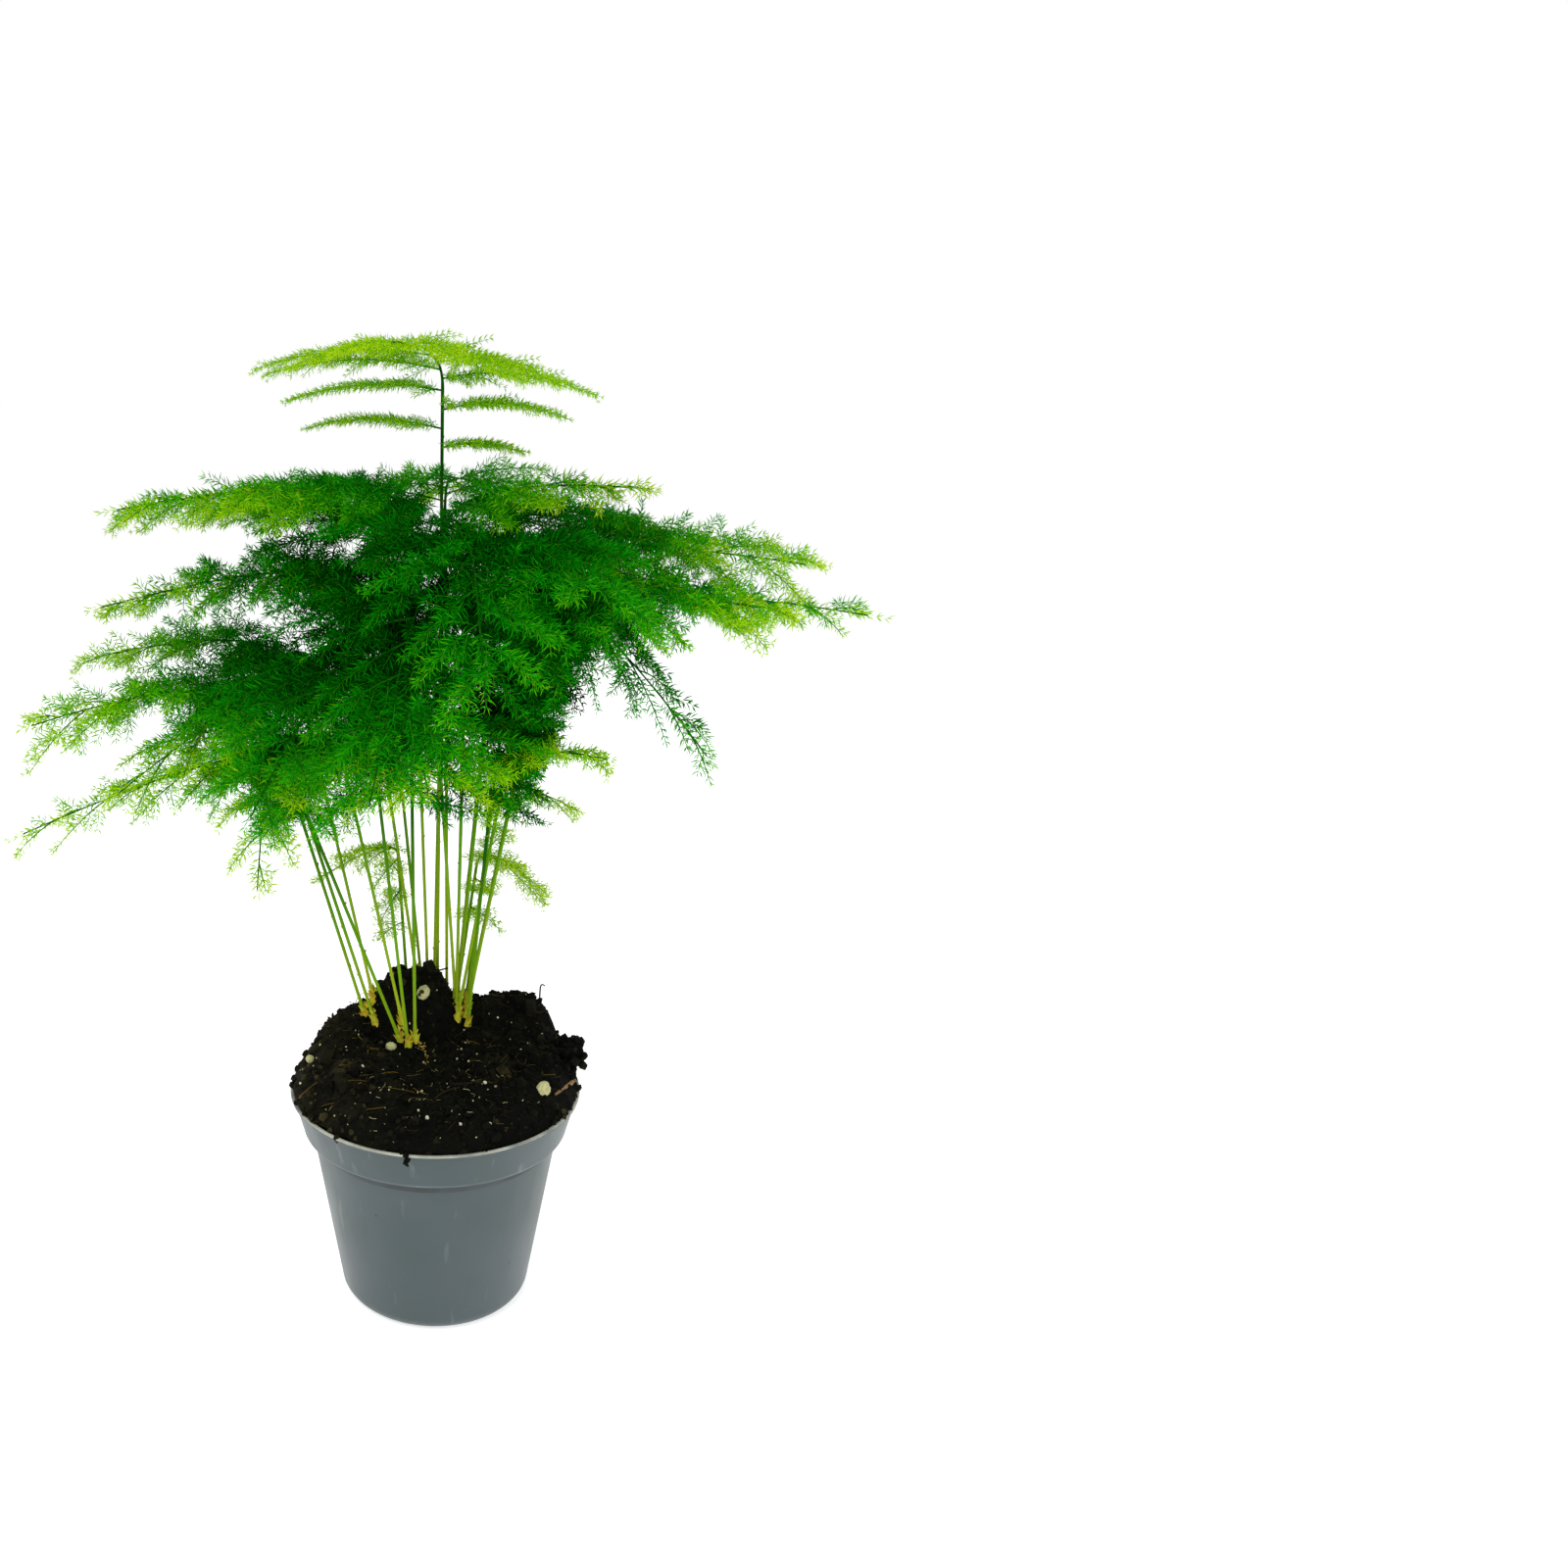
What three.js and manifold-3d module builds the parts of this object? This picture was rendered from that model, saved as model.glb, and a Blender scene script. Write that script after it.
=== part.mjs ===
// A lace fern (Asparagus setaceus) in its nursery pot.
// Millimetres, +Z up, the pot stands on z = 0 and the viewer is on the -Y side.
// Each leafy stem is one solid: a wiry stem, flat tiers of side shoots, whorls of needles.
import * as THREE from "three";
import { mergeVertices } from "three/addons/utils/BufferGeometryUtils.js";
import Module from "manifold-3d";

const wasm = await Module();
wasm.setup();

// Pot
const POT_HEIGHT = 92;
const POT_SEGMENTS = 36;
const WALL = 1.3;
const FLOOR_THICKNESS = 1.8;
const BASE_RADIUS = 38.9; // of the body's cone, carried down to z = 0
const BASE_FILLET = 6;
const BODY_TOP_RADIUS = 51.4;
const COLLAR_BOTTOM = 75; // the body steps out here to the stacking collar
const COLLAR_BOTTOM_RADIUS = 55;
const COLLAR_TOP_RADIUS = 58.6;
const LIP_RADIUS = 60;
const LIP_HEIGHT = 1.6;
const DRAIN_HOLES = 6;
const DRAIN_RADIUS = 4;
const DRAIN_CIRCLE = 25;
const DRAIN_SIDES = 10;

// Soil
const FIT_GAP = 0.35; // left between neighbouring solids
const SOIL_SEGMENTS = 30;
const SOIL_TOP_RINGS = [0.95, 0.86, 0.74, 0.62, 0.5, 0.36, 0.2]; // shares of the soil's top radius
const SOIL_EDGE = 92.6;
const SOIL_PLATEAU = 106; // the root ball stands proud of the rim
const SOIL_BACK_RISE = 4;
const SOIL_LUMP = 2;
const SOIL_SEED = 17;
const HUMP_CENTRE = new THREE.Vector2(-9.5, 30);
const HUMP_HEIGHT = 20.5;
const HUMP_WIDTH = 18;
// Where the ball's edge stands prouder: centre x and y, height, width.
const SHOULDERS = [
  [34, 31, 9, 20],
  [47, 26, 9, 12],
  [-38, 26, 7, 17],
];

// Leafy stems
const STEM_RADIUS = 0.75;
const STEM_FOOT_RADIUS = 1.05; // swollen where it leaves the crown
const STEM_SUNK = 7;
const STEM_SIDES = 4;
const RACHIS_TIP_RADIUS = 0.6;
const RACHIS_STATIONS = [0.15, 0.3, 0.45, 0.6, 0.75];
const RACHIS_END = 0.82; // a thinner end shoot carries on from here
const SIDE_STEP = 7; // natural distance between side shoots along the frond
const SIDE_EVERY = 3; // every third one is modelled, which keeps them left and right in turn
const SIDE_LIFT = 14; // degrees a side shoot may stand up or hang down
const SIDE_SWING = 9;
const SHOOT_ROOT_RADIUS = 0.5;
const SHOOT_TIP_RADIUS = 0.42;
const SHOOT_SIDES = 3;
const WHORL_STEP = 25;
const WHORL_FIRST = 7; // from the root of a shoot to its first whorl
const WHORL_LAST = 4.5; // at least this from the last whorl to the shoot's tip
const WHORL_DEPTH = 1.1;
const NEEDLE_LENGTH = 6.2;
const NEEDLE_TILT = THREE.MathUtils.degToRad(58); // away from the shoot's own direction
const NEEDLE_RADIUS = 0.4; // kept clear around a needle
const BEND_TRIES = [0, 7, -7, 14, -14, 21, -21]; // degrees a side shoot may bend to stay clear
const STEM_SEED = 405;
const TALL_SEED = 23897514; // gives the tall frond its separate layers

// Columns: name, base where it leaves the soil, knee where it starts to arch over, rise of the
// arch above the knee, tip, half of the frond's greatest width, sag of its side shoots, length
// below the knee that bears side shoots, tone.
const STEMS = [
  ["tall", [1, 44.5], [2.8, 16, 371], 17, [-16, -34, 385], 72, 0.17, 26, "fresh"],
  ["upper_left", [-3.2, 44.5], [-9, 20, 320], 26, [-124, -6, 326], 62, 0.24, 90, "young"],
  ["upper_right", [5.2, 44.5], [4, 2, 318], 24, [84, 0, 334], 40, 0.16, 84, "mid"],
  ["right_large", [13.6, 27], [33, 20, 298], 24, [147, 4, 305], 66, 0.18, 70, "young"],
  ["right_far", [13.8, 31], [44, 38, 268], 36, [178, 20, 283], 48, 0.2, 50, "mid"],
  ["right_front", [9.4, 20], [36, -14, 284], 26, [134, -26, 291], 56, 0.2, 62, "young"],
  ["left_thin", [-8, 43.6], [-30, 28, 290], 24, [-134, 4, 288], 48, 0.18, 72, "mid"],
  ["left_middle", [-30, 20], [-65, 12, 242], 30, [-160, -6, 244], 64, 0.16, 40, "mid"],
  ["left_curl", [-26.5, 24.5], [-57, 42, 256], 26, [-146, 44, 262], 56, 0.18, 52, "mid"],
  ["left_low", [-25.5, 15.5], [-56, 0, 226], 22, [-165, -14, 202], 48, 0.12, 20, "mid"],
  ["left_droop", [-14.6, 6.8], [-57, -22, 238], 16, [-66, -42, 188], 30, 0.2, 26, "young"],
  ["left_inner", [-13.6, 11.4], [-42, 8, 256], 24, [-122, -30, 222], 62, 0.18, 36, "mid"],
  ["right_back_low", [14, 18.4], [22, -12, 226], 20, [66, -30, 238], 34, 0.1, 14, "fresh"],
  ["right_old", [13, 22.8], [43, -2, 284], 26, [106, -18, 232], 58, 0.24, 26, "deep"],
  ["right_low", [13.4, 40.2], [24, 42, 198], 20, [64, 48, 194], 30, 0.16, 12, "mid"],
  ["front_left", [-11.2, 3.2], [-26, -20, 268], 28, [-62, -98, 232], 62, 0.14, 42, "deep"],
  ["front", [8.8, 28.4], [-2, -16, 292], 26, [-22, -110, 238], 64, 0.14, 78, "deep"],
  ["front_bright", [9, 24.2], [12, -14, 312], 22, [16, -106, 274], 58, 0.18, 90, "deep"],
  ["front_right", [9.6, 32.6], [25, -2, 304], 26, [62, -78, 300], 58, 0.18, 54, "deep"],
  ["back_left", [-5.4, 48.6], [-24, 50, 309], 26, [-96, 92, 317], 64, 0.14, 84, "mid"],
  ["back", [-0.6, 48.8], [4, 56, 322], 24, [12, 130, 324], 62, 0.14, 96, "mid"],
  ["back_right", [9.2, 37.2], [28, 48, 312], 22, [106, 84, 300], 64, 0.16, 84, "mid"],
  ["young_right", [9.2, 47.6], [18, 46, 172], 14, [50, 50, 156], 34, 0.1, 30, "fresh"],
  ["young_left", [-12.4, 45.6], [-16, 46, 176], 12, [-54, 50, 162], 32, 0.1, 34, "fresh"],
  ["front_low", [-8.4, 6.8], [-9, -12, 236], 22, [-2, -80, 238], 58, 0.14, 24, "mid"],
];

// Materials, one per slot of colour
const POT_PLASTIC = new THREE.MeshStandardMaterial({ color: 0x5d6868, roughness: 0.42, metalness: 0 });
const PEAT = new THREE.MeshStandardMaterial({ color: 0x16130d, roughness: 0.95, metalness: 0 });
const FOLIAGE = {
  fresh: new THREE.MeshStandardMaterial({ color: 0x93c32c, roughness: 0.55, metalness: 0 }),
  young: new THREE.MeshStandardMaterial({ color: 0x66a824, roughness: 0.55, metalness: 0 }),
  mid: new THREE.MeshStandardMaterial({ color: 0x2f9420, roughness: 0.55, metalness: 0 }),
  deep: new THREE.MeshStandardMaterial({ color: 0x116b1d, roughness: 0.6, metalness: 0 }),
};

const UP = new THREE.Vector3(0, 0, 1);
const lcgStep = (state) => (state * 1664525 + 1013904223) % 4294967296;

// The same seed always gives the same draws, each from -1 to 1.
function seededDraw(seed) {
  let state = lcgStep(lcgStep(seed));
  return () => {
    state = lcgStep(state);
    return state / 2147483648 - 1;
  };
}

function solidOf(geometry) {
  const bare = geometry.clone();
  bare.deleteAttribute("normal");
  bare.deleteAttribute("uv");
  const merged = mergeVertices(bare);
  const vertProperties = merged.attributes.position.array;
  const triVerts = new Uint32Array(merged.index.array);
  return new wasm.Manifold(new wasm.Mesh({ numProp: 3, vertProperties, triVerts }));
}

function meshOf(name, solid, material) {
  const { vertProperties, triVerts } = solid.getMesh();
  const geometry = new THREE.BufferGeometry();
  geometry.setAttribute("position", new THREE.BufferAttribute(vertProperties, 3));
  geometry.setIndex(new THREE.BufferAttribute(triVerts, 1));
  geometry.computeVertexNormals();
  const mesh = new THREE.Mesh(geometry, material);
  mesh.name = name;
  return mesh;
}

// A closed skin through rings of points, pulled to a point at each end. A face for which
// needleTip returns a point is drawn out into a needle instead of lying flat.
function skinGeometry(rings, rootPoint, tipPoint, needleTip = () => null) {
  const sides = rings[0].length;
  const points = [...rings.flat(), rootPoint, tipPoint];
  const root = rings.length * sides;
  const tip = root + 1;
  const faces = [];
  const at = (ring, side) => ring * sides + (side % sides);
  const addFace = (a, b, c, point) => {
    if (!point) {
      faces.push(a, b, c);
      return;
    }
    const peak = points.push(point) - 1;
    faces.push(a, b, peak, b, c, peak, c, a, peak);
  };
  for (let side = 0; side < sides; side++) {
    faces.push(root, at(0, side + 1), at(0, side));
    faces.push(at(rings.length - 1, side), at(rings.length - 1, side + 1), tip);
    for (let ring = 0; ring + 1 < rings.length; ring++) {
      const [a, b] = [at(ring, side), at(ring, side + 1)];
      const [c, d] = [at(ring + 1, side + 1), at(ring + 1, side)];
      addFace(a, b, c, needleTip(ring, side, 1));
      addFace(a, c, d, needleTip(ring, side, 0));
    }
  }
  const geometry = new THREE.BufferGeometry().setFromPoints(points);
  geometry.setIndex(faces);
  return geometry;
}

// Pot: one turned wall with a stacking collar, a rolled lip and drain holes in the floor.
function potSolid() {
  const slope = (BODY_TOP_RADIUS - BASE_RADIUS) / COLLAR_BOTTOM;
  const filletRadius = BASE_RADIUS - BASE_FILLET;
  const fillet = [0.25, 0.6, 0.95].map((turn) => {
    const angle = (turn * Math.PI) / 2;
    return [
      filletRadius + BASE_FILLET * Math.sin(angle) + slope * BASE_FILLET * turn,
      BASE_FILLET * (1 - Math.cos(angle)),
    ];
  });
  const innerBodyTop = BODY_TOP_RADIUS - WALL;
  const profile = [
    [0, 0],
    [filletRadius, 0],
    ...fillet,
    [BODY_TOP_RADIUS, COLLAR_BOTTOM],
    [COLLAR_BOTTOM_RADIUS, COLLAR_BOTTOM + 0.6],
    [COLLAR_TOP_RADIUS, POT_HEIGHT - LIP_HEIGHT],
    [LIP_RADIUS, POT_HEIGHT - LIP_HEIGHT / 2],
    [COLLAR_TOP_RADIUS + 0.4, POT_HEIGHT],
    [COLLAR_TOP_RADIUS - WALL, POT_HEIGHT - 0.5],
    [COLLAR_BOTTOM_RADIUS - WALL, COLLAR_BOTTOM + WALL],
    [innerBodyTop, COLLAR_BOTTOM + WALL / 2],
    [BASE_RADIUS + slope * BASE_FILLET - WALL, BASE_FILLET],
    [filletRadius, FLOOR_THICKNESS],
    [0, FLOOR_THICKNESS],
  ].map(([radius, z]) => new THREE.Vector2(radius, z));
  const lathe = new THREE.LatheGeometry(profile, POT_SEGMENTS).rotateX(Math.PI / 2);
  let pot = solidOf(lathe);
  for (let hole = 0; hole < DRAIN_HOLES; hole++) {
    const angle = (2 * Math.PI * hole) / DRAIN_HOLES;
    const drill = new THREE.CylinderGeometry(DRAIN_RADIUS, DRAIN_RADIUS, 3 * FLOOR_THICKNESS, DRAIN_SIDES)
      .rotateX(Math.PI / 2)
      .translate(DRAIN_CIRCLE * Math.cos(angle), DRAIN_CIRCLE * Math.sin(angle), 0);
    pot = pot.subtract(solidOf(drill));
  }
  return pot;
}

// Height of the soil's surface: a root ball that stands above the rim, with a heap at the crowns.
function soilHeight(x, y) {
  const edge = Math.min(1, Math.hypot(x, y) / COLLAR_TOP_RADIUS);
  const ball = SOIL_PLATEAU - SOIL_EDGE + (SOIL_BACK_RISE * y) / COLLAR_TOP_RADIUS;
  const place = new THREE.Vector2(x, y);
  const away = HUMP_CENTRE.distanceTo(place) / HUMP_WIDTH;
  const heap = HUMP_HEIGHT * Math.exp(-(away ** 4));
  const shoulders = SHOULDERS.map(
    ([centreX, centreY, height, width]) =>
      height * Math.exp(-(((x - centreX) / width) ** 2) - ((y - centreY) / width) ** 2),
  );
  const proud = shoulders.reduce((sum, height) => sum + height, 0);
  return SOIL_EDGE + (ball + heap) * (1 - edge ** 8) + proud * (1 - edge ** 24);
}

function soilSolid() {
  const draw = seededDraw(SOIL_SEED);
  const topRadius = COLLAR_TOP_RADIUS - WALL - FIT_GAP;
  const slope = (BODY_TOP_RADIUS - BASE_RADIUS) / COLLAR_BOTTOM;
  const ring = (radius, heightAt) =>
    Array.from({ length: SOIL_SEGMENTS }, (_, side) => {
      const angle = (2 * Math.PI * side) / SOIL_SEGMENTS;
      const [x, y] = [radius * Math.cos(angle), radius * Math.sin(angle)];
      return new THREE.Vector3(x, y, heightAt(x, y));
    });
  const inset = WALL + FIT_GAP + 0.25;
  const bottom = FLOOR_THICKNESS + FIT_GAP;
  const wallRings = [
    ring(BASE_RADIUS - BASE_FILLET - 1, () => bottom),
    ring(BASE_RADIUS + slope * BASE_FILLET - inset, () => BASE_FILLET + FIT_GAP),
    ring(BODY_TOP_RADIUS - inset, () => COLLAR_BOTTOM + WALL + FIT_GAP),
    ring(topRadius - 0.3, () => SOIL_EDGE - 1.5),
  ];
  const topRings = SOIL_TOP_RINGS.map((share) =>
    ring(share * topRadius, (x, y) => soilHeight(x, y) + SOIL_LUMP * draw()),
  );
  const floorCentre = new THREE.Vector3(0, 0, bottom);
  const topCentre = new THREE.Vector3(0, 0, soilHeight(0, 0));
  return solidOf(skinGeometry([...wallRings, ...topRings], floorCentre, topCentre));
}

// The line of a leafy stem: straight from the crown to the knee, then an arch to the tip.
function stemLine([name, base, kneeAt, rise, tipAt, spread, sag, leafed, tone], index) {
  const seed = name === "tall" ? TALL_SEED : STEM_SEED + index;
  const foot = new THREE.Vector3(base[0], base[1], soilHeight(base[0], base[1]));
  const knee = new THREE.Vector3(...kneeAt);
  const tip = new THREE.Vector3(...tipAt);
  const climb = knee.clone().sub(foot).normalize();
  const crest = knee.clone().addScaledVector(climb, rise);
  const arch = new THREE.QuadraticBezierCurve3(knee, crest, tip);
  const archLength = (knee.distanceTo(crest) + crest.distanceTo(tip) + knee.distanceTo(tip)) / 2;
  const reach = tip.clone().sub(knee).setZ(0).normalize();
  const lateral = UP.clone().cross(reach);
  return { name, seed, foot, knee, tip, climb, arch, archLength, leafed, reach, lateral, spread, sag, tone };
}

// Half the frond's width at a share of the arch: broad near the knee, nothing at the tip.
const widthAt = (share) => Math.min(1, 0.75 + 1.5 * share) * (1 - share) ** 0.42;

// Every side shoot of a frond, alternately left and right in one flat plane.
function sideShoots(line) {
  const draw = seededDraw(line.seed);
  const bearing = line.leafed + 0.94 * line.archLength;
  const count = Math.round(bearing / SIDE_STEP);
  return Array.from({ length: count }, (_, i) => {
    const distance = ((i + 0.5) * bearing) / count - line.leafed;
    const share = Math.max(0, distance / line.archLength);
    const root = line.arch.getPoint(share).addScaledVector(line.climb, Math.min(0, distance));
    const tangent = line.arch.getTangent(share);
    const slope = THREE.MathUtils.clamp(tangent.z / Math.hypot(tangent.x, tangent.y), -1, 0);
    const forward = line.reach.clone().setZ(slope).normalize();
    const angle = THREE.MathUtils.degToRad(18 + 34 * share + SIDE_SWING * draw());
    const lift = THREE.MathUtils.degToRad(SIDE_LIFT * draw());
    const taper = 1 + (0.25 * Math.min(0, distance)) / line.leafed;
    const length = line.spread * widthAt(share) * taper * (1 + 0.18 * draw());
    const outward = line.lateral.clone().multiplyScalar(i % 2 ? -1 : 1);
    const heading = outward.multiplyScalar(Math.cos(angle)).addScaledVector(forward, Math.sin(angle));
    return { root, heading, lift, length, sag: line.sag, modelled: i % SIDE_EVERY === 0 };
  });
}

// A side shoot leaves straight, then sags; bend turns it up or down about its root.
function shootCurve({ root, heading, lift, length, sag }, bend) {
  const pitch = lift + THREE.MathUtils.degToRad(bend);
  const way = heading.clone().multiplyScalar(Math.cos(pitch)).addScaledVector(UP, Math.sin(pitch));
  const middle = root.clone().addScaledVector(way, 0.5 * length).addScaledVector(UP, 0.05 * length);
  const end = root.clone().addScaledVector(way, length).addScaledVector(UP, -sag * length);
  return new THREE.QuadraticBezierCurve3(root, middle, end);
}

// Shortest distance between two straight segments given as [start, end, radius].
function segmentDistance([p, pEnd], [q, qEnd]) {
  const u = pEnd.clone().sub(p);
  const v = qEnd.clone().sub(q);
  const w = p.clone().sub(q);
  const [uu, vv, uv, uw, vw] = [u.dot(u), v.dot(v), u.dot(v), u.dot(w), v.dot(w)];
  const determinant = uu * vv - uv * uv;
  const clamp = (value) => Math.min(1, Math.max(0, value));
  let s = determinant > 1e-9 ? clamp((uv * vw - vv * uw) / determinant) : 0;
  const t = clamp((uv * s + vw) / vv);
  s = clamp((uv * t - uw) / uu);
  return w.addScaledVector(u, s).addScaledVector(v, -t).length();
}

// Segments already taken, so that a later stem bends clear of an earlier one.
const taken = [];
function isClear(owner, segment) {
  const [start, end, radius] = segment;
  const reach = start.distanceTo(end) + radius + FIT_GAP;
  return taken.every((other) => {
    if (other.owner === owner) return true;
    const [otherStart, otherEnd, otherRadius] = other.segment;
    const far = reach + otherRadius + otherStart.distanceTo(otherEnd);
    if (start.distanceTo(otherStart) > far) return true;
    return segmentDistance(segment, other.segment) > radius + otherRadius + FIT_GAP;
  });
}
const take = (owner, segments) => segments.forEach((segment) => taken.push({ owner, segment }));

// Rings around a line of points; across is any direction that the line never follows.
function ringsAround(points, radii, sides, across) {
  return points.map((point, i) => {
    const along = points[Math.min(i + 1, points.length - 1)].clone().sub(points[Math.max(i - 1, 0)]);
    const second = along.clone().cross(across).normalize();
    const first = second.clone().cross(along).normalize();
    return Array.from({ length: sides }, (_, side) => {
      const angle = (2 * Math.PI * side) / sides;
      return point
        .clone()
        .addScaledVector(first, radii[i] * Math.cos(angle))
        .addScaledVector(second, radii[i] * Math.sin(angle));
    });
  });
}

const segmentsAlong = (points, radius) => points.slice(1).map((point, i) => [points[i], point, radius]);

// The points along a shoot: its root, then both ends of each short whorl section.
function shootPoints(curve, length) {
  const whorls = Math.max(1, Math.floor((length - WHORL_FIRST - WHORL_LAST) / WHORL_STEP) + 1);
  const step = whorls > 1 ? (length - WHORL_FIRST - WHORL_LAST) / (whorls - 1) : 0;
  const distances = [0];
  for (let i = 0; i < whorls; i++) {
    const distance = Math.min(WHORL_FIRST + i * step, length - WHORL_LAST);
    distances.push(distance, distance + WHORL_DEPTH);
  }
  return distances.map((distance) => curve.getPoint(distance / length));
}

// A three-sided shoot along a curve, drawn out into a whorl of six needles at each section.
function shootSolid(owner, curve, length) {
  const points = shootPoints(curve, length);
  const radiusAt = (share) => THREE.MathUtils.lerp(SHOOT_ROOT_RADIUS, SHOOT_TIP_RADIUS, share);
  const radii = points.map((_, i) => radiusAt(i / points.length));
  const rings = ringsAround(points, radii, SHOOT_SIDES, UP);
  const corner = (side, ring) => rings[ring][side % SHOOT_SIDES];
  const needles = [];
  const needleTip = (ring, side, half) => {
    if (ring % 2 === 0) return null;
    const [near, far] = [corner(side, ring), corner(side + 1, ring)];
    const third = half ? far : corner(side, ring + 1);
    const base = near.clone().add(corner(side + 1, ring + 1)).add(third).divideScalar(3);
    const along = points[ring + 1].clone().sub(points[ring]).normalize();
    const outward = half ? far : near;
    const middle = near.clone().add(far).multiplyScalar(0.5);
    const radial = outward.clone().sub(middle).multiplyScalar(1 / (2 * Math.sqrt(3)));
    radial.add(middle.sub(points[ring])).projectOnPlane(along).normalize();
    const way = radial.multiplyScalar(Math.sin(NEEDLE_TILT)).addScaledVector(along, Math.cos(NEEDLE_TILT));
    const tip = base.clone().addScaledVector(way, NEEDLE_LENGTH);
    if (!isClear(owner, [base, tip, NEEDLE_RADIUS])) return null;
    needles.push([base, tip, NEEDLE_RADIUS]);
    return tip;
  };
  const end = curve.getPoint(1);
  const root = points[0].clone().sub(points[1].clone().sub(points[0]).setLength(0.1));
  const solid = solidOf(skinGeometry(rings, root, end, needleTip));
  take(owner, [...segmentsAlong([...points, end], SHOOT_ROOT_RADIUS), ...needles]);
  return solid;
}

function stemPoints(line) {
  const below = line.foot.clone().addScaledVector(line.climb, -STEM_SUNK);
  const swell = line.foot.clone().addScaledVector(line.climb, 2);
  const thin = line.foot.clone().addScaledVector(line.climb, 9);
  const arched = [...RACHIS_STATIONS, RACHIS_END].map((share) => line.arch.getPoint(share));
  const points = [below, swell, thin, line.knee, ...arched];
  const radii = [STEM_FOOT_RADIUS, STEM_FOOT_RADIUS, STEM_RADIUS, STEM_RADIUS];
  arched.forEach((_, i) => {
    radii.push(THREE.MathUtils.lerp(STEM_RADIUS, RACHIS_TIP_RADIUS, (i + 1) / arched.length));
  });
  return { points, radii };
}

function leafyStemSolid(line) {
  const { points, radii } = stemPoints(line);
  const rings = ringsAround(points, radii, STEM_SIDES, line.lateral);
  const below = points[0].clone().addScaledVector(line.climb, -0.3);
  const last = points.length - 1;
  const along = points[last].clone().sub(points[last - 1]).normalize();
  const end = points[last].clone().addScaledVector(along, 0.3);
  let solid = solidOf(skinGeometry(rings, below, end));

  const endRoot = line.arch.getPoint(RACHIS_END - 0.02);
  const endCurve = new THREE.QuadraticBezierCurve3(endRoot, line.arch.getPoint(0.92), line.tip);
  solid = solid.add(shootSolid(line.name, endCurve, endRoot.distanceTo(line.tip)));
  for (const shoot of sideShoots(line)) {
    if (!shoot.modelled) continue;
    const clearCurve = BEND_TRIES.map((bend) => shootCurve(shoot, bend)).find((curve) => {
      const points = [...shootPoints(curve, shoot.length), curve.getPoint(1)];
      return segmentsAlong(points, SHOOT_ROOT_RADIUS).every((part) => isClear(line.name, part));
    });
    if (clearCurve) solid = solid.add(shootSolid(line.name, clearCurve, shoot.length));
  }
  return solid;
}

// A plain hole in the soil for the foot of a stem.
function footHole(line) {
  const points = [-STEM_SUNK - 0.3 - FIT_GAP, 2 * STEM_SUNK].map((distance) =>
    line.foot.clone().addScaledVector(line.climb, distance),
  );
  const radius = STEM_FOOT_RADIUS + 1.3 * FIT_GAP;
  const rings = ringsAround(points, [radius, radius], STEM_SIDES, line.lateral);
  return solidOf(skinGeometry(rings, points[0], points[1]));
}

const plant = new THREE.Group();
plant.name = "lace_fern_in_pot";
plant.add(meshOf("pot", potSolid(), POT_PLASTIC));

const lines = STEMS.map(stemLine);
const soil = lines.reduce((solid, line) => solid.subtract(footHole(line)), soilSolid());
plant.add(meshOf("soil", soil, PEAT));

lines.forEach((line) => take(line.name, segmentsAlong(stemPoints(line).points, STEM_RADIUS)));
lines.forEach((line) => {
  plant.add(meshOf("stem_" + line.name, leafyStemSolid(line), FOLIAGE[line.tone]));
});

export default plant;
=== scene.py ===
"""A lace fern in its nursery pot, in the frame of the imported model.

Lengths are in millimetres until a mesh is made, and in metres in the scene. The stems follow the
solids' table and seeded rule, here with all of their side shoots, branchlets and needles.
"""
import math

import bpy
import numpy as np
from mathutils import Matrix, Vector


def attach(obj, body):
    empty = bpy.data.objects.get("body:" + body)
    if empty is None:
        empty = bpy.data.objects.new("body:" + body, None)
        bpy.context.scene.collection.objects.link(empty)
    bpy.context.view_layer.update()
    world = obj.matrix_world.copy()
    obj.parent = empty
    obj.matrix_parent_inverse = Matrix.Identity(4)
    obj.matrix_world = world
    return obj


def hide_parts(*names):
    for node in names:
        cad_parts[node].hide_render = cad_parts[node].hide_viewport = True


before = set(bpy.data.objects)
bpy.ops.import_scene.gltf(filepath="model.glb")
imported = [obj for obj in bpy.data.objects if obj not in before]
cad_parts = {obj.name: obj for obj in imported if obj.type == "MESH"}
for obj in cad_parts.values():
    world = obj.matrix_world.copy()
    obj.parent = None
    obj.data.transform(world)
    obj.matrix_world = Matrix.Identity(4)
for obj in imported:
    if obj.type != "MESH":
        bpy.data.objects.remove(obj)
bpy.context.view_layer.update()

MM = 0.001

# Pot
POT_HEIGHT = 92
WALL = 1.3
FLOOR_THICKNESS = 1.8
BASE_RADIUS = 38.9
BASE_FILLET = 6
BODY_TOP_RADIUS = 51.4
COLLAR_BOTTOM = 75
COLLAR_BOTTOM_RADIUS = 55
COLLAR_TOP_RADIUS = 58.6
LIP_RADIUS = 60
LIP_HEIGHT = 1.6
DRAIN_HOLES = 6
DRAIN_RADIUS = 4
DRAIN_CIRCLE = 25
POT_SEGMENTS = 160

# Soil
FIT_GAP = 0.35
SOIL_EDGE = 92.6
SOIL_PLATEAU = 106
SOIL_BACK_RISE = 4
HUMP_CENTRE = (-9.5, 30)
HUMP_HEIGHT = 20.5
HUMP_WIDTH = 18
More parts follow.
